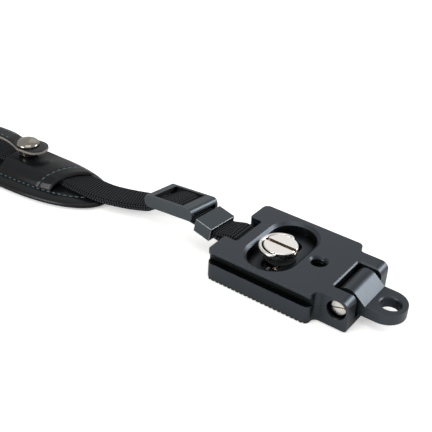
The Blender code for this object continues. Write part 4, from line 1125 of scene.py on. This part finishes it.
@dataclass(frozen=True)
class HardPart:
    """A rigid CAD node that is shown through a merged, softly edged copy of itself."""

    node: str
    piece: str
    body: Body
    slot: Slot
    edge: float = 0.14
    angle: float = 32.0
    rounded: bool = False
    weld: float = 0.004
    flat: float = math.radians(1.0)

    def build(self, material: bpy.types.Material) -> bpy.types.Object:
        """Copy the node, join its triangles into faces and break its edges.

        Args:
            material: The finish to give it.

        Returns:
            The new piece.
        """
        bm = bmesh.new()
        bm.from_mesh(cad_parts[self.node].data)
        bmesh.ops.transform(bm, matrix=FROM_FRAME, verts=bm.verts)
        bmesh.ops.remove_doubles(bm, verts=bm.verts, dist=self.weld)
        bmesh.ops.dissolve_degenerate(bm, dist=self.weld, edges=bm.edges)
        bmesh.ops.dissolve_limit(bm, angle_limit=self.flat, verts=bm.verts, edges=bm.edges)
        if not self.rounded:
            soften_edges(bm, self.edge, self.angle)
        piece = add_piece(self.piece, bm, material, self.body, self.slot)
        if self.rounded:
            smooth = piece.modifiers.new("round", "SUBSURF")
            smooth.levels = smooth.render_levels = 2
        else:
            weighted = piece.modifiers.new("flat_faces", "WEIGHTED_NORMAL")
            weighted.keep_sharp = True
        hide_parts(self.node)
        return piece


@dataclass(frozen=True)
class QuickReleasePlate:
    """The milled plate with its rubber sheet, webbing bar, hinge hardware and tripod thread."""

    sheet_edge: float = 0.05
    pin_edge: float = 0.08
    washer_edge: float = 0.06
    socket_radius: float = 2.7
    thread_foot: float = 0.05
    thread_depth: float = 0.34
    thread_pitch: float = 1.27
    thread_turns: float = 5.5
    thread_low: float = 3.4

    def build(self, looks: Finishes) -> None:
        """Build and dress the plate and what is fixed to it.

        Args:
            looks: The materials.
        """
        HardPart("quick_release_plate", "plate_body", Body.PLATE, Slot.ANODISED).build(looks.anodised)
        HardPart("rubber_pad", "grip_sheet", Body.PLATE, Slot.RUBBER,
                 edge=self.sheet_edge).build(looks.rubber)
        HardPart("strap_bar", "webbing_bar", Body.PLATE, Slot.DARK_STEEL).build(looks.dark_steel)
        HardPart("hinge_pin", "slotted_pin", Body.PLATE, Slot.NICKEL, edge=self.pin_edge).build(looks.nickel)
        HardPart("hinge_nut", "pin_nut", Body.PLATE, Slot.NICKEL, edge=self.pin_edge).build(looks.nickel)
        for side in ("front", "back"):
            HardPart(f"hinge_washer_{side}", f"washer_{side}", Body.PLATE, Slot.NYLON,
                     edge=self.washer_edge).build(looks.nylon)
        self.cut_thread(looks)

    def cut_thread(self, looks: Finishes) -> None:
        """Wind the 1/4 inch thread in the tripod socket.

        Args:
            looks: The materials.
        """
        ridge = screw_ridge(self.socket_radius + self.thread_foot, -self.thread_depth, self.thread_pitch,
                            self.thread_turns, (ORIGIN_X, 0.0, self.thread_low))
        add_piece("socket_thread", ridge, looks.anodised, Body.PLATE, Slot.ANODISED)


@dataclass(frozen=True)
class CameraScrew:
    """The captive screw with its thread, the folding ring, and the washer and clip that hold it."""

    centre: tuple[float, float] = (19.1, -1.3)
    head_edge: float = 0.1
    small_edge: float = 0.08
    shank_radius: float = 3.1
    thread_depth: float = 0.2
    thread_pitch: float = 1.27
    thread_turns: float = 2.5
    thread_low: float = 0.75

    def build(self, looks: Finishes) -> None:
        """Build and dress the screw and the pieces that move with it.

        Args:
            looks: The materials.
        """
        HardPart("camera_screw", "camera_screw_body", Body.SCREW, Slot.NICKEL,
                 edge=self.head_edge).build(looks.nickel)
        HardPart("d_ring", "folding_ring", Body.RING, Slot.NICKEL, rounded=True).build(looks.nickel)
        HardPart("slip_washer", "washer_under_head", Body.WASHER, Slot.NYLON,
                 edge=self.small_edge).build(looks.nylon)
        HardPart("retaining_clip", "clip_in_groove", Body.CLIP, Slot.DARK_STEEL,
                 edge=self.small_edge).build(looks.dark_steel)
        ridge = screw_ridge(self.shank_radius, self.thread_depth, self.thread_pitch, self.thread_turns,
                            (*self.centre, self.thread_low))
        add_piece("screw_thread", ridge, looks.nickel, Body.SCREW, Slot.NICKEL)


@dataclass(frozen=True)
class StrapFittings:
    """The strap lug on its hinge, and the keeper and adjuster on the webbing."""

    lug_edge: float = 0.2
    keeper_edge: float = 0.22
    adjuster_edge: float = 0.3

    def build(self, looks: Finishes) -> None:
        """Build and dress the fittings.

        Args:
            looks: The materials.
        """
        HardPart("strap_lug", "lug_body", Body.LUG, Slot.ANODISED, edge=self.lug_edge).build(looks.anodised)
        HardPart("keeper_loop", "keeper_sleeve", Body.KEEPER, Slot.ZINC,
                 edge=self.keeper_edge).build(looks.zinc)
        HardPart("adjuster_frame", "adjuster_body", Body.PLATE, Slot.ZINC,
                 edge=self.adjuster_edge).build(looks.zinc)


@dataclass(frozen=True)
class Webbing:
    """The nylon strap: one length, doubled, and the sewn end loop."""

    route: StrapRoute
    # The rounded edge, and how many steps its outline has on the flat and round the edge
    edge_round: float = 0.5
    flat_steps: int = 10
    edge_steps: int = 6
    # The weft's loops, which show as small bumps along both edges
    rib: float = 0.09
    rib_pitch: float = 1.0
    rib_reach: float = 1.2

    def section(self) -> list[tuple[float, float]]:
        """The strap's outline across its width.

        Returns:
            Points (across, up) around it.
        """
        half, high, r = self.route.width / 2, self.route.thickness / 2, self.edge_round
        flat, turn = self.flat_steps, self.edge_steps
        points = []
        for side in (1, -1):
            for k in range(flat + 1):
                points.append((side * (-half + r + (2 * half - 2 * r) * k / flat), side * high))
            for k in range(1, turn):
                angle = side * math.pi / 2 - math.pi * k / turn
                points.append((side * (half - r) + r * math.cos(angle), high * math.sin(angle)))
        return points

    def band(self, path: Sequence[Vector]) -> bmesh.types.BMesh:
        """Sweep the section along a path.

        Args:
            path: The centre line.

        Returns:
            The closed mesh, in millimetres, with UVs in millimetres along and across.
        """
        section = self.section()
        count, around = len(path), len(section)
        frames, length = [], [0.0]
        for k, point in enumerate(path):
            ahead = (path[min(k + 1, count - 1)] - path[max(k - 1, 0)]).normalized()
            side = self.route.side(point)
            side = (side - ahead * side.dot(ahead)).normalized()
            frames.append((point, side, ahead.cross(side)))
            if k:
                length.append(length[-1] + (point - path[k - 1]).length)
        bm = bmesh.new()
        uvs = bm.loops.layers.uv.new("UVMap")
        verts = bmesh.ops.create_grid(bm, x_segments=count - 1, y_segments=around, size=1.0)["verts"]
        marks = {v: (round((v.co.x + 1) / 2 * (count - 1)), round((v.co.y + 1) / 2 * around)) for v in verts}
        for face in bm.faces:
            for loop in face.loops:
                i, j = marks[loop.vert]
                a, b = section[j % around]
                loop[uvs].uv = (length[i], a + 0.8 * b)
        for vert, (i, j) in marks.items():
            point, side, up = frames[i]
            a, b = section[j % around]
            swell = self.rib * (abs(math.sin(math.pi * length[i] / self.rib_pitch)) - 0.5)
            near_edge = (abs(a) - self.route.width / 2 + self.rib_reach) / self.rib_reach
            a += math.copysign(swell, a) * smooth_step(near_edge)
            vert.co = point + side * a + up * b
        bmesh.ops.remove_doubles(bm, verts=bm.verts, dist=SAME_POINT)
        bmesh.ops.holes_fill(bm, edges=[e for e in bm.edges if e.is_boundary])
        return bm

    def build(self, looks: Finishes) -> None:
        """Build and dress the strap and its end loop.

        Args:
            looks: The materials.
        """
        band = self.band(self.route.path())
        strap = add_piece("woven_strap", band, looks.webbing, Body.PLATE, Slot.WEBBING)
        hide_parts("webbing")
        band = self.band(self.route.loop_path())
        loop = add_piece("end_loop", band, looks.webbing, Body.PLATE, Slot.WEBBING)
        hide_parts("far_loop")


class OutlineGauge:
    """Measures how far inside the leaf's outline a place on the pad lies."""

    def __init__(self, shape: PadShape) -> None:
        """Take the outline of a leaf.

        Args:
            shape: The leaf.
        """
        self.starts = np.array([tuple(p) for p in shape.outline()])
        self.runs = np.roll(self.starts, -1, axis=0) - self.starts
        self.squares = np.maximum((self.runs ** 2).sum(axis=1), 1e-12)

    def distance(self, s: float, t: float) -> float:
        """The distance of a place from the outline.

        Args:
            s: Distance along the pad.
            t: Distance across it.

        Returns:
            The shortest distance.
        """
        offset = np.array((s, t)) - self.starts
        share = np.clip((offset * self.runs).sum(axis=1) / self.squares, 0.0, 1.0)
        gap = offset - self.runs * share[:, None]
        return float(np.sqrt((gap ** 2).sum(axis=1)).min())


@dataclass(frozen=True)
class HandPad:
    """The padded leather leaf: a rolled rim, a sewn seam inside it and a slightly full middle."""

    shape: PadShape
    # The rolled edge, the groove that the seam pulls in, and the fullness outside and inside the seam
    roll: float = 1.3
    groove: float = 0.3
    groove_width: float = 0.5
    rim_crown: float = 0.12
    fullness: float = 0.25
    full_run: float = 6.0
    # How low the rolled edge wraps round the lining
    wrap: float = 0.45
    wrap_run: float = 0.8
    # The lining ends inside the rolled edge
    lining_length_share: float = 0.985
    lining_width_share: float = 0.92
    thread_seat: float = 0.12
    leather_grid: tuple[int, int] = (200, 80)
    lining_grid: tuple[int, int] = (120, 40)

    def leaf(self, a: float, b: float) -> tuple[float, float]:
        """Spread a pair of shares over the leaf, closest together at its edge.

        Args:
            a: Share along, 0 to 1.
            b: Share across, 0 to 1.

        Returns:
            The distances s along and t across.
        """
        x, y = (math.sin(math.pi / 2 * (2 * v - 1)) for v in (a, b))
        disc_x, disc_y = x * math.sqrt(1 - y * y / 2), y * math.sqrt(1 - x * x / 2)
        s = self.shape.length / 2 * (1 + disc_x)
        reach = math.sqrt(max(1e-12, 1 - disc_x * disc_x))
        return s, self.shape.width(s) * max(-1.0, min(1.0, disc_y / reach))

    def heights(self, s: float, t: float, edge: float) -> tuple[float, float]:
        """The underside and the upper side of the leather at a place.

        Args:
            s: Distance along the pad.
            t: Distance across it.
            edge: Distance from the leaf's outline.

        Returns:
            The two heights.
        """
        shape = self.shape
        f = max(-1.0, min(1.0, t / max(shape.width(s), 1.0)))
        full = shape.top(s, f)
        full += self.rim_crown * math.sin(math.pi * min(edge / shape.seam, 1.0))
        full += self.fullness * smooth_step((edge - shape.seam) / self.full_run)
        full -= self.groove * math.exp(-((edge - shape.seam) / self.groove_width) ** 2)
        low = shape.floor(s, f) + shape.lining + shape.seat
        low = self.wrap + (low - self.wrap) * smooth_step((edge - self.roll) / self.wrap_run)
        middle = (self.wrap + shape.top(s, f)) / 2
        share = math.sqrt(max(0.0, 1.0 - (1.0 - min(edge / self.roll, 1.0)) ** 2))
        return middle + (low - middle) * share, middle + (full - middle) * share

    def build(self, looks: Finishes) -> None:
        """Build and dress the pad, its lining and its seam.

        Args:
            looks: The materials.
        """
        self.build_leather(looks)
        self.build_lining(looks)
        self.build_seam(looks)

    def build_leather(self, looks: Finishes) -> None:
        """Build and dress the leather with its padding.

        Args:
            looks: The materials.
        """
        gauge = OutlineGauge(self.shape)
        known: dict[tuple[float, float], tuple[Vector, float, float]] = {}

        def look_up(a: float, b: float) -> tuple[Vector, float, float]:
            """Measure the leather at a pair of shares, once for both skins.

            Args:
                a: Share along.
                b: Share across.

            Returns:
                The plan point, the lower height and the upper height.
            """
            key = (round(a, 6), round(b, 6))
            if key not in known:
                s, t = self.leaf(a, b)
                known[key] = (self.shape.axis(s, t), *self.heights(s, t, gauge.distance(s, t)))
            return known[key]

        def lower(a: float, b: float) -> Vector:
            """A point of the leather's underside."""
            plan, low, _ = look_up(a, b)
            return Vector((plan.x, plan.y, low))

        def upper(a: float, b: float) -> Vector:
            """A point of the leather's upper side."""
            plan, _, high = look_up(a, b)
            return Vector((plan.x, plan.y, high))

        leather = layered_sheet(self.leather_grid, lower, upper, self.leaf)
        pad = add_piece("pad_leather", leather, looks.leather, Body.PLATE, Slot.LEATHER, sharp=80.0)
        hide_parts("pad")

    def lining_under(self, a: float, b: float) -> Vector:
        """A point of the lining's underside, inside the rolled leather edge.

        Args:
            a: Share along.
            b: Share across.

        Returns:
            The point.
        """
        shape = self.shape
        s, t = self.leaf(a, b)
        shift = shape.length / 2 + (s - shape.length / 2) * self.lining_length_share
        plan = shape.axis(shift, t * self.lining_width_share)
        return Vector((plan.x, plan.y, shape.floor(shift, t / shape.half_width)))

    def lining_over(self, a: float, b: float) -> Vector:
        """A point of the lining's upper side."""
        return self.lining_under(a, b) + Vector((0.0, 0.0, self.shape.lining))

    def build_lining(self, looks: Finishes) -> None:
        """Build and dress the soft lining.

        Args:
            looks: The materials.
        """
        lining = layered_sheet(self.lining_grid, self.lining_under, self.lining_over, self.leaf)
        soft = add_piece("pad_backing", lining, looks.lining, Body.PLATE, Slot.LINING)
        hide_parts("pad_lining")

    def build_seam(self, looks: Finishes) -> None:
        """Sew the seam that runs round the leaf.

        Args:
            looks: The materials.
        """
        rows = bmesh.new()
        seam = self.shape.outline(self.shape.seam)
        line = []
        for p in seam + seam[:2]:
            plan = self.shape.axis(p.x, p.y)
            height = self.heights(p.x, p.y, self.shape.seam)[1] + self.thread_seat
            line.append(Vector((plan.x, plan.y, height)))
        StitchRow().sew(rows, line)
        add_piece("pad_seam", rows, looks.thread, Body.PLATE, Slot.THREAD)


@dataclass(frozen=True)
class Cover:
    """A leather cover sewn to the pad along its sides, over the webbing."""

    route: StrapRoute
    piece: str
    node: str
    start: float
    end: float
    slant: float
    # How far the mouth's middle bows back, and how much higher it stands
    bow: float = 0.0
    arch: float = 0.0
    thickness: float = 1.0
    # The slope from webbing to seam, and the room beside the webbing
    free: float = 6.0
    margin: float = 0.9
    # Where the hem's stitches run, behind the mouth
    hem: float = 6.0
    hem_rise: float = 0.18
    both_hems: bool = False
    far_hem: float = 2.5
    # The mouth's arch is full up to its reach and then fades
    arch_reach: float = 12.0
    arch_fade: float = 9.0
    # The leather's share of its thickness at a seam, and how soon it is full
    seam_share: float = 0.25
    seam_run: float = 1.4
    # The groove that stitches pull in, the rounding of the mouth's edge, and the bevel of cut edges
    groove: float = 0.3
    groove_width: float = 0.45
    mouth_round: float = 0.35
    mouth_run: float = 0.5
    edge: float = 0.28
    side_power: float = 1.7
    grid_step: float = 0.4
    across_steps: int = 72
    thread_seat: float = 0.14

    def spot(self, a: float, b: float) -> tuple[float, float]:
        """The pad coordinates of a pair of shares.

        Args:
            a: Share along, from the mouth.
            b: Share across.

        Returns:
            The distances s and t.
        """
        pad = self.route.pad
        side = 2.0 * b - 1.0
        middle = self.start + (self.end - self.start) * a
        s = middle - (1.0 - a) * (self.slant * side * (pad.width(middle) - pad.seam)
                                  - self.bow * (1.0 - side * side))
        return s, side * (pad.width(s) - pad.seam)

    def lift(self, plan: Vector, low: float, high: float) -> float:
        """How far the cover's underside stands off the pad.

        Args:
            plan: The plan point.
            low: Y of the front seam there.
            high: Y of the back seam there.

        Returns:
            The distance.
        """
        stack = 2 * (self.route.thickness + self.route.seat)
        front = self.route.line_y(plan.x) - self.route.width / 2 - self.margin
        back = self.route.line_y(plan.x) + self.route.width / 2 + self.margin
        share = 1.0
        if plan.y < front:
            share = 1.0 - (front - plan.y) / min(self.free, front - low)
        elif plan.y > back:
            share = 1.0 - (plan.y - back) / min(self.free, high - back)
        share = min(max(share, 0.0), 1.0)
        return self.route.seat + stack * (1.0 - (1.0 - share) ** self.side_power)

    def point(self, a: float, b: float, outer: bool) -> Vector:
        """A point of the cover's skin.

        Args:
            a: Share along.
            b: Share across.
            outer: Whether it is the upper skin.

        Returns:
            The point.
        """
        pad = self.route.pad
        s, t = self.spot(a, b)
        plan = pad.axis(s, t)
        seams = [pad.axis(s, edge * (pad.width(s) - pad.seam)).y for edge in (-1, 1)]
        z = pad.surface(plan.x, plan.y) + self.lift(plan, *seams)
        behind = a * (self.end - self.start)
        # The mouth stands higher in its middle, over the hanging webbing
        aside = (plan.y - self.route.line_y(plan.x)) / (self.route.width / 2 + self.margin)
        beyond_arch = smooth_step((behind - self.arch_reach) / self.arch_fade)
        z += self.arch * max(0.0, 1.0 - aside * aside) * (1.0 - beyond_arch)
        if not outer:
            return Vector((plan.x, plan.y, z))
        # The leather thins towards its seams, is doubled at the hem, and rounds off at the mouth
        near_seam = min(plan.y - seams[0], seams[1] - plan.y)
        full = smooth_step(near_seam / self.seam_run)
        z += self.thickness * (self.seam_share + (1.0 - self.seam_share) * full)
        z += self.hem_rise * smooth_step(self.hem + 0.5 - behind)
        z -= self.groove * math.exp(-((behind - self.hem) / self.groove_width) ** 2)
        z -= self.mouth_round * max(0.0, 1.0 - behind / self.mouth_run) ** 2
        if self.both_hems:
            beyond = (1.0 - a) * (self.end - self.start)
            z -= self.groove * math.exp(-((beyond - self.far_hem) / self.groove_width) ** 2)
        return Vector((plan.x, plan.y, z))

    def build(self, looks: Finishes) -> None:
        """Build and dress the cover and its stitching.

        Args:
            looks: The materials.
        """
        span = self.end - self.start
        rows = max(40, round(span / self.grid_step))
        sheet = layered_sheet((rows, self.across_steps), lambda a, b: self.point(a, b, False),
                              lambda a, b: self.point(a, b, True), lambda a, b: (a * span, b * 20.0))
        soften_edges(sheet, self.edge, angle=55.0, segments=3, cut_sides=True)
        piece = add_piece(self.piece, sheet, looks.leather, Body.PLATE, Slot.LEATHER, sharp=60.0)
        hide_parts(self.node)
        stitches = bmesh.new()
        hems = [self.hem / span] + ([1.0 - self.far_hem / span] if self.both_hems else [])
        for share in hems:
            line = [self.point(share, 0.02 + 0.96 * k / 60, True) + Vector((0.0, 0.0, self.thread_seat))
                    for k in range(61)]
            StitchRow().sew(stitches, line)
        add_piece(f"{self.piece}_stitches", stitches, looks.thread, Body.PLATE, Slot.THREAD)


@dataclass(frozen=True)
class StudTab:
    """The press-stud tab with its rounded free end, and the metal stud's three parts."""

    route: StrapRoute
    # The tab's width at the stud and in its narrower neck, and the stretch over which it draws in
    width: float = 10.5
    waist: float = 6.5
    waist_start: float = 0.0
    waist_end: float = 6.5
    thickness: float = 1.2
    # From the stud to the free end, and how high the tab bows behind the stud
    from_end: float = 9.1
    bow: float = 1.4
    # The stud's cap, and how high its post and its base stand on the sleeve
    cap_radius: float = 4.7
    cap_height: float = 1.7
    post_height: float = 2.3
    base_height: float = 0.3
    # Half the straight stretch at the tip, how far the sides fall off, and the bevel of the cut edges
    tip_flat: float = 0.4
    crown: float = 0.25
    edge: float = 0.3
    # The sleeve's leather under the stud
    cover_thickness: float = 1.0
    # The stitches' distance from the tab's sides, and from the stud and the root
    seam_margin: float = 1.3
    seam_ends: tuple[float, float] = (8.0, 4.0)
    socket_edge: float = 0.15
    post_edge: float = 0.12

    def cover_top(self, x: float, y: float) -> float:
        """Height of a leather cover's upper face over the webbing.

        Args:
            x: The place's X.
            y: The place's Y.

        Returns:
            The height.
        """
        route = self.route
        stack = route.seat + 2 * (route.thickness + route.seat)
        return route.pad.surface(x, y) + stack + self.cover_thickness

    def profile(self) -> list[Vector]:
        """The tab's underside as (distance from the stud, height).

        Returns:
            The profile's points.
        """
        route = self.route
        stud = (self.cover_top(route.stud_x, route.strap_y) + 2 * route.gap + self.base_height
                + self.post_height)
        root_plan = route.tab_place(route.tab_length)
        root = self.cover_top(root_plan.x, root_plan.y) - self.cover_thickness + route.seat
        high = stud + self.bow
        length = route.tab_length
        points = [(-self.from_end, stud), (0.0, stud), (self.cap_radius, stud),
                  (2.2 * self.cap_radius, high), (0.45 * length, high),
                  (0.7 * length, root + 0.5 * (high - root)), (length - 2.0, root + 0.1), (length, root)]
        return smooth_path([(u, z, 0.0) for u, z in points], 12)

    def half_width(self, u: float) -> float:
        """Half the tab's width.

        Args:
            u: Distance from the stud towards the root.

        Returns:
            The half width.
        """
        radius = self.width / 2
        inward = min(max(u + self.from_end, 0.0), radius)
        half = max(math.sqrt(max(0.0, radius ** 2 - (radius - inward) ** 2)), self.tip_flat)
        waist = smooth_step((u - self.waist_start) / (self.waist_end - self.waist_start))
        return half - waist * (self.width - self.waist) / 2

    def build(self, looks: Finishes) -> None:
        """Build and dress the tab and the stud.

        Args:
            looks: The materials.
        """
        route = self.route
        profile = self.profile()
        spots = np.array([p.x for p in profile])
        heights = np.array([p.y for p in profile])
        span = route.tab_length + self.from_end

        def skin(a: float, b: float, extra: float) -> Vector:
            """A point of the tab's lower or upper skin.

            Args:
                a: Share along, from the free end.
                b: Share across.
                extra: How far the skin lies above the underside.

            Returns:
                The point.
            """
            u = -self.from_end + span * (1 - math.cos(math.pi / 2 * a)) if a < 1 else route.tab_length
            half = self.half_width(u)
            v = (2 * b - 1) * half
            plan = route.tab_place(u, v)
            crown = -self.crown * (v / max(half, 0.5)) ** 4 if extra else 0.0
            return Vector((plan.x, plan.y, float(np.interp(u, spots, heights)) + extra + crown))

        strip = layered_sheet((150, 24), lambda a, b: skin(a, b, 0.0),
                              lambda a, b: skin(a, b, self.thickness),
                              lambda a, b: (a * span, (b - 0.5) * self.width))
        soften_edges(strip, self.edge, angle=50.0, segments=3, cut_sides=True)
        tab = add_piece("tab_strip", strip, looks.tab_leather, Body.TAB, Slot.LEATHER, sharp=60.0)
        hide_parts("stud_tab")
        rows = bmesh.new()
        for side in (-1, 1):
            line = []
            for k in range(80):
                u = self.seam_ends[0] + (route.tab_length - sum(self.seam_ends)) * k / 79
                plan = route.tab_place(u, side * (self.half_width(u) - self.seam_margin))
                line.append(Vector((plan.x, plan.y, float(np.interp(u, spots, heights)) + self.thickness)))
            StitchRow(length=1.6, thread=0.4).sew(rows, line)
        add_piece("tab_stitches", rows, looks.thread, Body.TAB, Slot.THREAD)
        self.build_stud(looks)

    def build_stud(self, looks: Finishes) -> None:
        """Build the stud: a domed cap on the tab, its socket under it and the post on the sleeve.

        Args:
            looks: The materials.
        """
        route = self.route
        seat = self.cover_top(route.stud_x, route.strap_y) + route.gap
        cap_z = seat + self.base_height + self.post_height + 2 * route.gap + self.thickness
        r, h = self.cap_radius, self.cap_height
        # A rolled rim, then the dome in ten steps
        dome = [(0.0, 0.15), (r - 0.35, 0.15), (r - 0.12, 0.0), (r, 0.14), (r - 0.05, 0.34)]
        for k in range(1, 11):
            angle = math.pi / 2 * k / 10
            dome.append(((r - 0.3) * math.cos(angle), 0.36 + (h - 0.38) * math.sin(angle)))
        dome[-1] = (0.0, h - 0.02)
        shell = turned_solid(dome, (route.stud_x, route.strap_y, cap_z))
        cap = add_piece("stud_cap_shell", shell, looks.stud, Body.TAB, Slot.NICKEL, sharp=50.0)
        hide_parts("stud_cap")
        HardPart("stud_socket", "socket_shell", Body.TAB, Slot.NICKEL,
                 edge=self.socket_edge).build(looks.stud)
        HardPart("stud_post", "post_shell", Body.PLATE, Slot.NICKEL, edge=self.post_edge).build(looks.stud)


# Floor, light and camera


@dataclass(frozen=True)
class SoftBox:
    """A square lamp that points at the model; its place and size are in metres, its power in watts."""

    name: str
    place: tuple[float, float, float]
    size: float
    power: float
    target: tuple[float, float, float] = (-0.03, 0.0, 0.0)

    def hang(self) -> None:
        """Put the lamp in the scene."""
        lamp = bpy.data.lights.new(self.name, "AREA")
        lamp.size = self.size
        lamp.energy = self.power
        holder = bpy.data.objects.new(self.name, lamp)
        holder.location = self.place
        aim = Vector(self.target) - Vector(self.place)
        holder.rotation_euler = aim.to_track_quat("-Z", "Y").to_euler()
        bpy.context.scene.collection.objects.link(holder)


@dataclass(frozen=True)
class Studio:
    """A white floor, plain soft light and the camera at the photograph's viewpoint."""

    # The camera's direction and roll, solved from the plate's edges in the photograph
    azimuth: float = math.radians(34.0)
    elevation: float = math.radians(32.8)
    roll: float = math.radians(3.28)
    # A point on the plate, how far right of and above the line of sight it lies, and how far away
    aim: tuple[float, float, float] = (30.0, 0.0, 10.0)
    shift: tuple[float, float] = (32.02, -15.85)
    depth: float = 302.46
    # Focal length and picture width, in pixels
    focal_px: float = 878.57
    frame_px: float = 432.0
    sky_level: float = 0.6
    floor_glow: float = 0.42
    floor_half_m: float = 3.0
    floor_drop_m: float = 0.0002
    # The middle and the half sizes of the rectangle under the plate where the floor doesn't glow: a painted
    # shadow
    painted_shadow_centre: tuple[float, float] = (20.7, 0.0)
    painted_shadow_half: tuple[float, float] = (18.7, 17.5)
    # A strong lamp behind on the right and one in front, weak ones above and behind on the left
    lamps: tuple[SoftBox, ...] = (SoftBox("soft_box_right", (0.47, 0.6, 0.4), 0.36, 4.2),
                                  SoftBox("soft_box_above", (0.1, -0.2, 0.9), 0.6, 1.5),
                                  SoftBox("soft_box_back", (-0.47, 0.7, 0.55), 0.5, 0.28),
                                  SoftBox("soft_box_front", (-0.3, -0.75, 0.45), 0.4, 4.0))

    def build(self) -> None:
        """Build floor, light and camera."""
        self.build_floor()
        self.build_world()
        for lamp in self.lamps:
            lamp.hang()
        self.build_camera()

    def seen_directly(self, tree: bpy.types.NodeTree) -> bpy.types.NodeSocket:
        """Whether a ray shows the background to the camera.

        Args:
            tree: The node tree to add to.

        Returns:
            1 for such rays, 0 for rays that light the object or that it mirrors.
        """
        path = add_node(tree, "ShaderNodeLightPath").outputs
        return add_node(tree, "ShaderNodeMath", {0: path["Is Camera Ray"], 1: path["Is Transmission Ray"]},
                        operation="MAXIMUM").outputs[0]

    def build_floor(self) -> None:
        """Lay the floor, just under the part; it glows a little, but not in the painted shadow where the
        plate covers it.
        """
        bm = bmesh.new()
        bmesh.ops.create_grid(bm, x_segments=1, y_segments=1, size=self.floor_half_m)
        mesh = bpy.data.meshes.new("floor")
        bm.to_mesh(mesh)
        bm.free()
        floor = bpy.data.objects.new("floor", mesh)
        floor.location = (0.0, 0.0, -self.floor_drop_m)
        bpy.context.scene.collection.objects.link(floor)
        material = bpy.data.materials.new("white_table")
        material.use_nodes = True
        tree = material.node_tree
        tree.nodes.clear()
        matt = add_node(tree, "ShaderNodeBsdfDiffuse", {"Color": linear_colour("#EDEDEB")})
        place = add_node(tree, "ShaderNodeTexCoord").outputs["Object"]
        parts = add_node(tree, "ShaderNodeSeparateXYZ", {0: place}).outputs
        # Painted shadow: the glow is switched off inside the rectangle under the plate
        middle = (self.painted_shadow_centre[0] - ORIGIN_X, self.painted_shadow_centre[1])
        outside = []
        for axis, centre, half in zip("XY", middle, self.painted_shadow_half):
            off = add_node(tree, "ShaderNodeMath", {0: parts[axis], 1: centre * MM}, operation="SUBTRACT")
            far = add_node(tree, "ShaderNodeMath", {0: off.outputs[0]}, operation="ABSOLUTE")
            past = add_node(tree, "ShaderNodeMath", {0: far.outputs[0], 1: half * MM},
                            operation="GREATER_THAN")
            outside.append(past.outputs[0])
        lit = add_node(tree, "ShaderNodeMath", {0: outside[0], 1: outside[1]}, operation="MAXIMUM")
        strength = add_node(tree, "ShaderNodeMath", {0: lit.outputs[0], 1: self.floor_glow},
                            operation="MULTIPLY")
        glow = add_node(tree, "ShaderNodeEmission", {"Color": (1.0, 1.0, 1.0, 1.0),
                                                     "Strength": strength.outputs[0]})
        both = add_node(tree, "ShaderNodeAddShader", {0: matt.outputs[0], 1: glow.outputs[0]})
        mixed = add_node(tree, "ShaderNodeMixShader", {0: self.seen_directly(tree), 1: matt.outputs[0],
                                                       2: both.outputs[0]})
        add_node(tree, "ShaderNodeOutputMaterial", {"Surface": mixed.outputs[0]})
        mesh.materials.append(material)

    def build_world(self) -> None:
        """Light from all round, white where the camera sees past the floor."""
        world = bpy.data.worlds.new("studio")
        bpy.context.scene.world = world
        world.use_nodes = True
        tree = world.node_tree
        tree.nodes.clear()
        light = add_node(tree, "ShaderNodeBackground", {"Color": (1.0, 1.0, 1.0, 1.0),
                                                        "Strength": self.sky_level})
        white = add_node(tree, "ShaderNodeBackground", {"Color": (1.0, 1.0, 1.0, 1.0), "Strength": 1.0})
        mixed = add_node(tree, "ShaderNodeMixShader", {0: self.seen_directly(tree), 1: light.outputs[0],
                                                       2: white.outputs[0]})
        add_node(tree, "ShaderNodeOutputWorld", {"Surface": mixed.outputs[0]})

    def build_camera(self) -> None:
        """Set the camera where the photograph was taken from."""
        az, el = self.azimuth, self.elevation
        back = Vector((math.sin(az) * math.cos(el), -math.cos(az) * math.cos(el), math.sin(el)))
        right = Vector((math.cos(az), math.sin(az), 0.0))
        up = back.cross(right)
        turned_right = right * math.cos(self.roll) + up * math.sin(self.roll)
        turned_up = -right * math.sin(self.roll) + up * math.cos(self.roll)
        place = (Vector(self.aim) - turned_right * self.shift[0] - turned_up * self.shift[1]
                 + back * self.depth)
        data = bpy.data.cameras.new("photo_camera")
        data.sensor_width = 36.0
        data.lens = self.focal_px / self.frame_px * data.sensor_width
        data.clip_start = 0.01
        data.clip_end = 20.0
        camera = bpy.data.objects.new("photo_camera", data)
        turn = Matrix((turned_right, turned_up, back)).transposed().to_4x4()
        camera.matrix_world = Matrix.Translation(TO_FRAME @ place) @ turn
        bpy.context.scene.collection.objects.link(camera)
        bpy.context.scene.camera = camera
        bpy.context.scene.view_settings.view_transform = "Standard"


def main() -> None:
    """Build the whole dressed model."""
    logging.basicConfig(level=logging.INFO, format="%(name)s: %(message)s")
    route = StrapRoute()
    screw = CameraScrew()
    looks = Finishes.build(screw.centre, (route.stud_x, route.strap_y))
    QuickReleasePlate().build(looks)
    screw.build(looks)
    StrapFittings().build(looks)
    Webbing(route).build(looks)
    HandPad(route.pad).build(looks)
    Cover(route, "sleeve", "tunnel_sleeve", start=16.4, end=47.8, slant=0.55, bow=1.2,
          arch=0.7).build(looks)
    root = route.tab_root()
    Cover(route, "tab_anchor", "tab_patch", start=root + 0.6, end=root + route.patch_length, slant=0.0,
          hem=2.5, hem_rise=0.0, both_hems=True).build(looks)
    StudTab(route).build(looks)
    Studio().build()


if __name__ == "__main__":
    main()
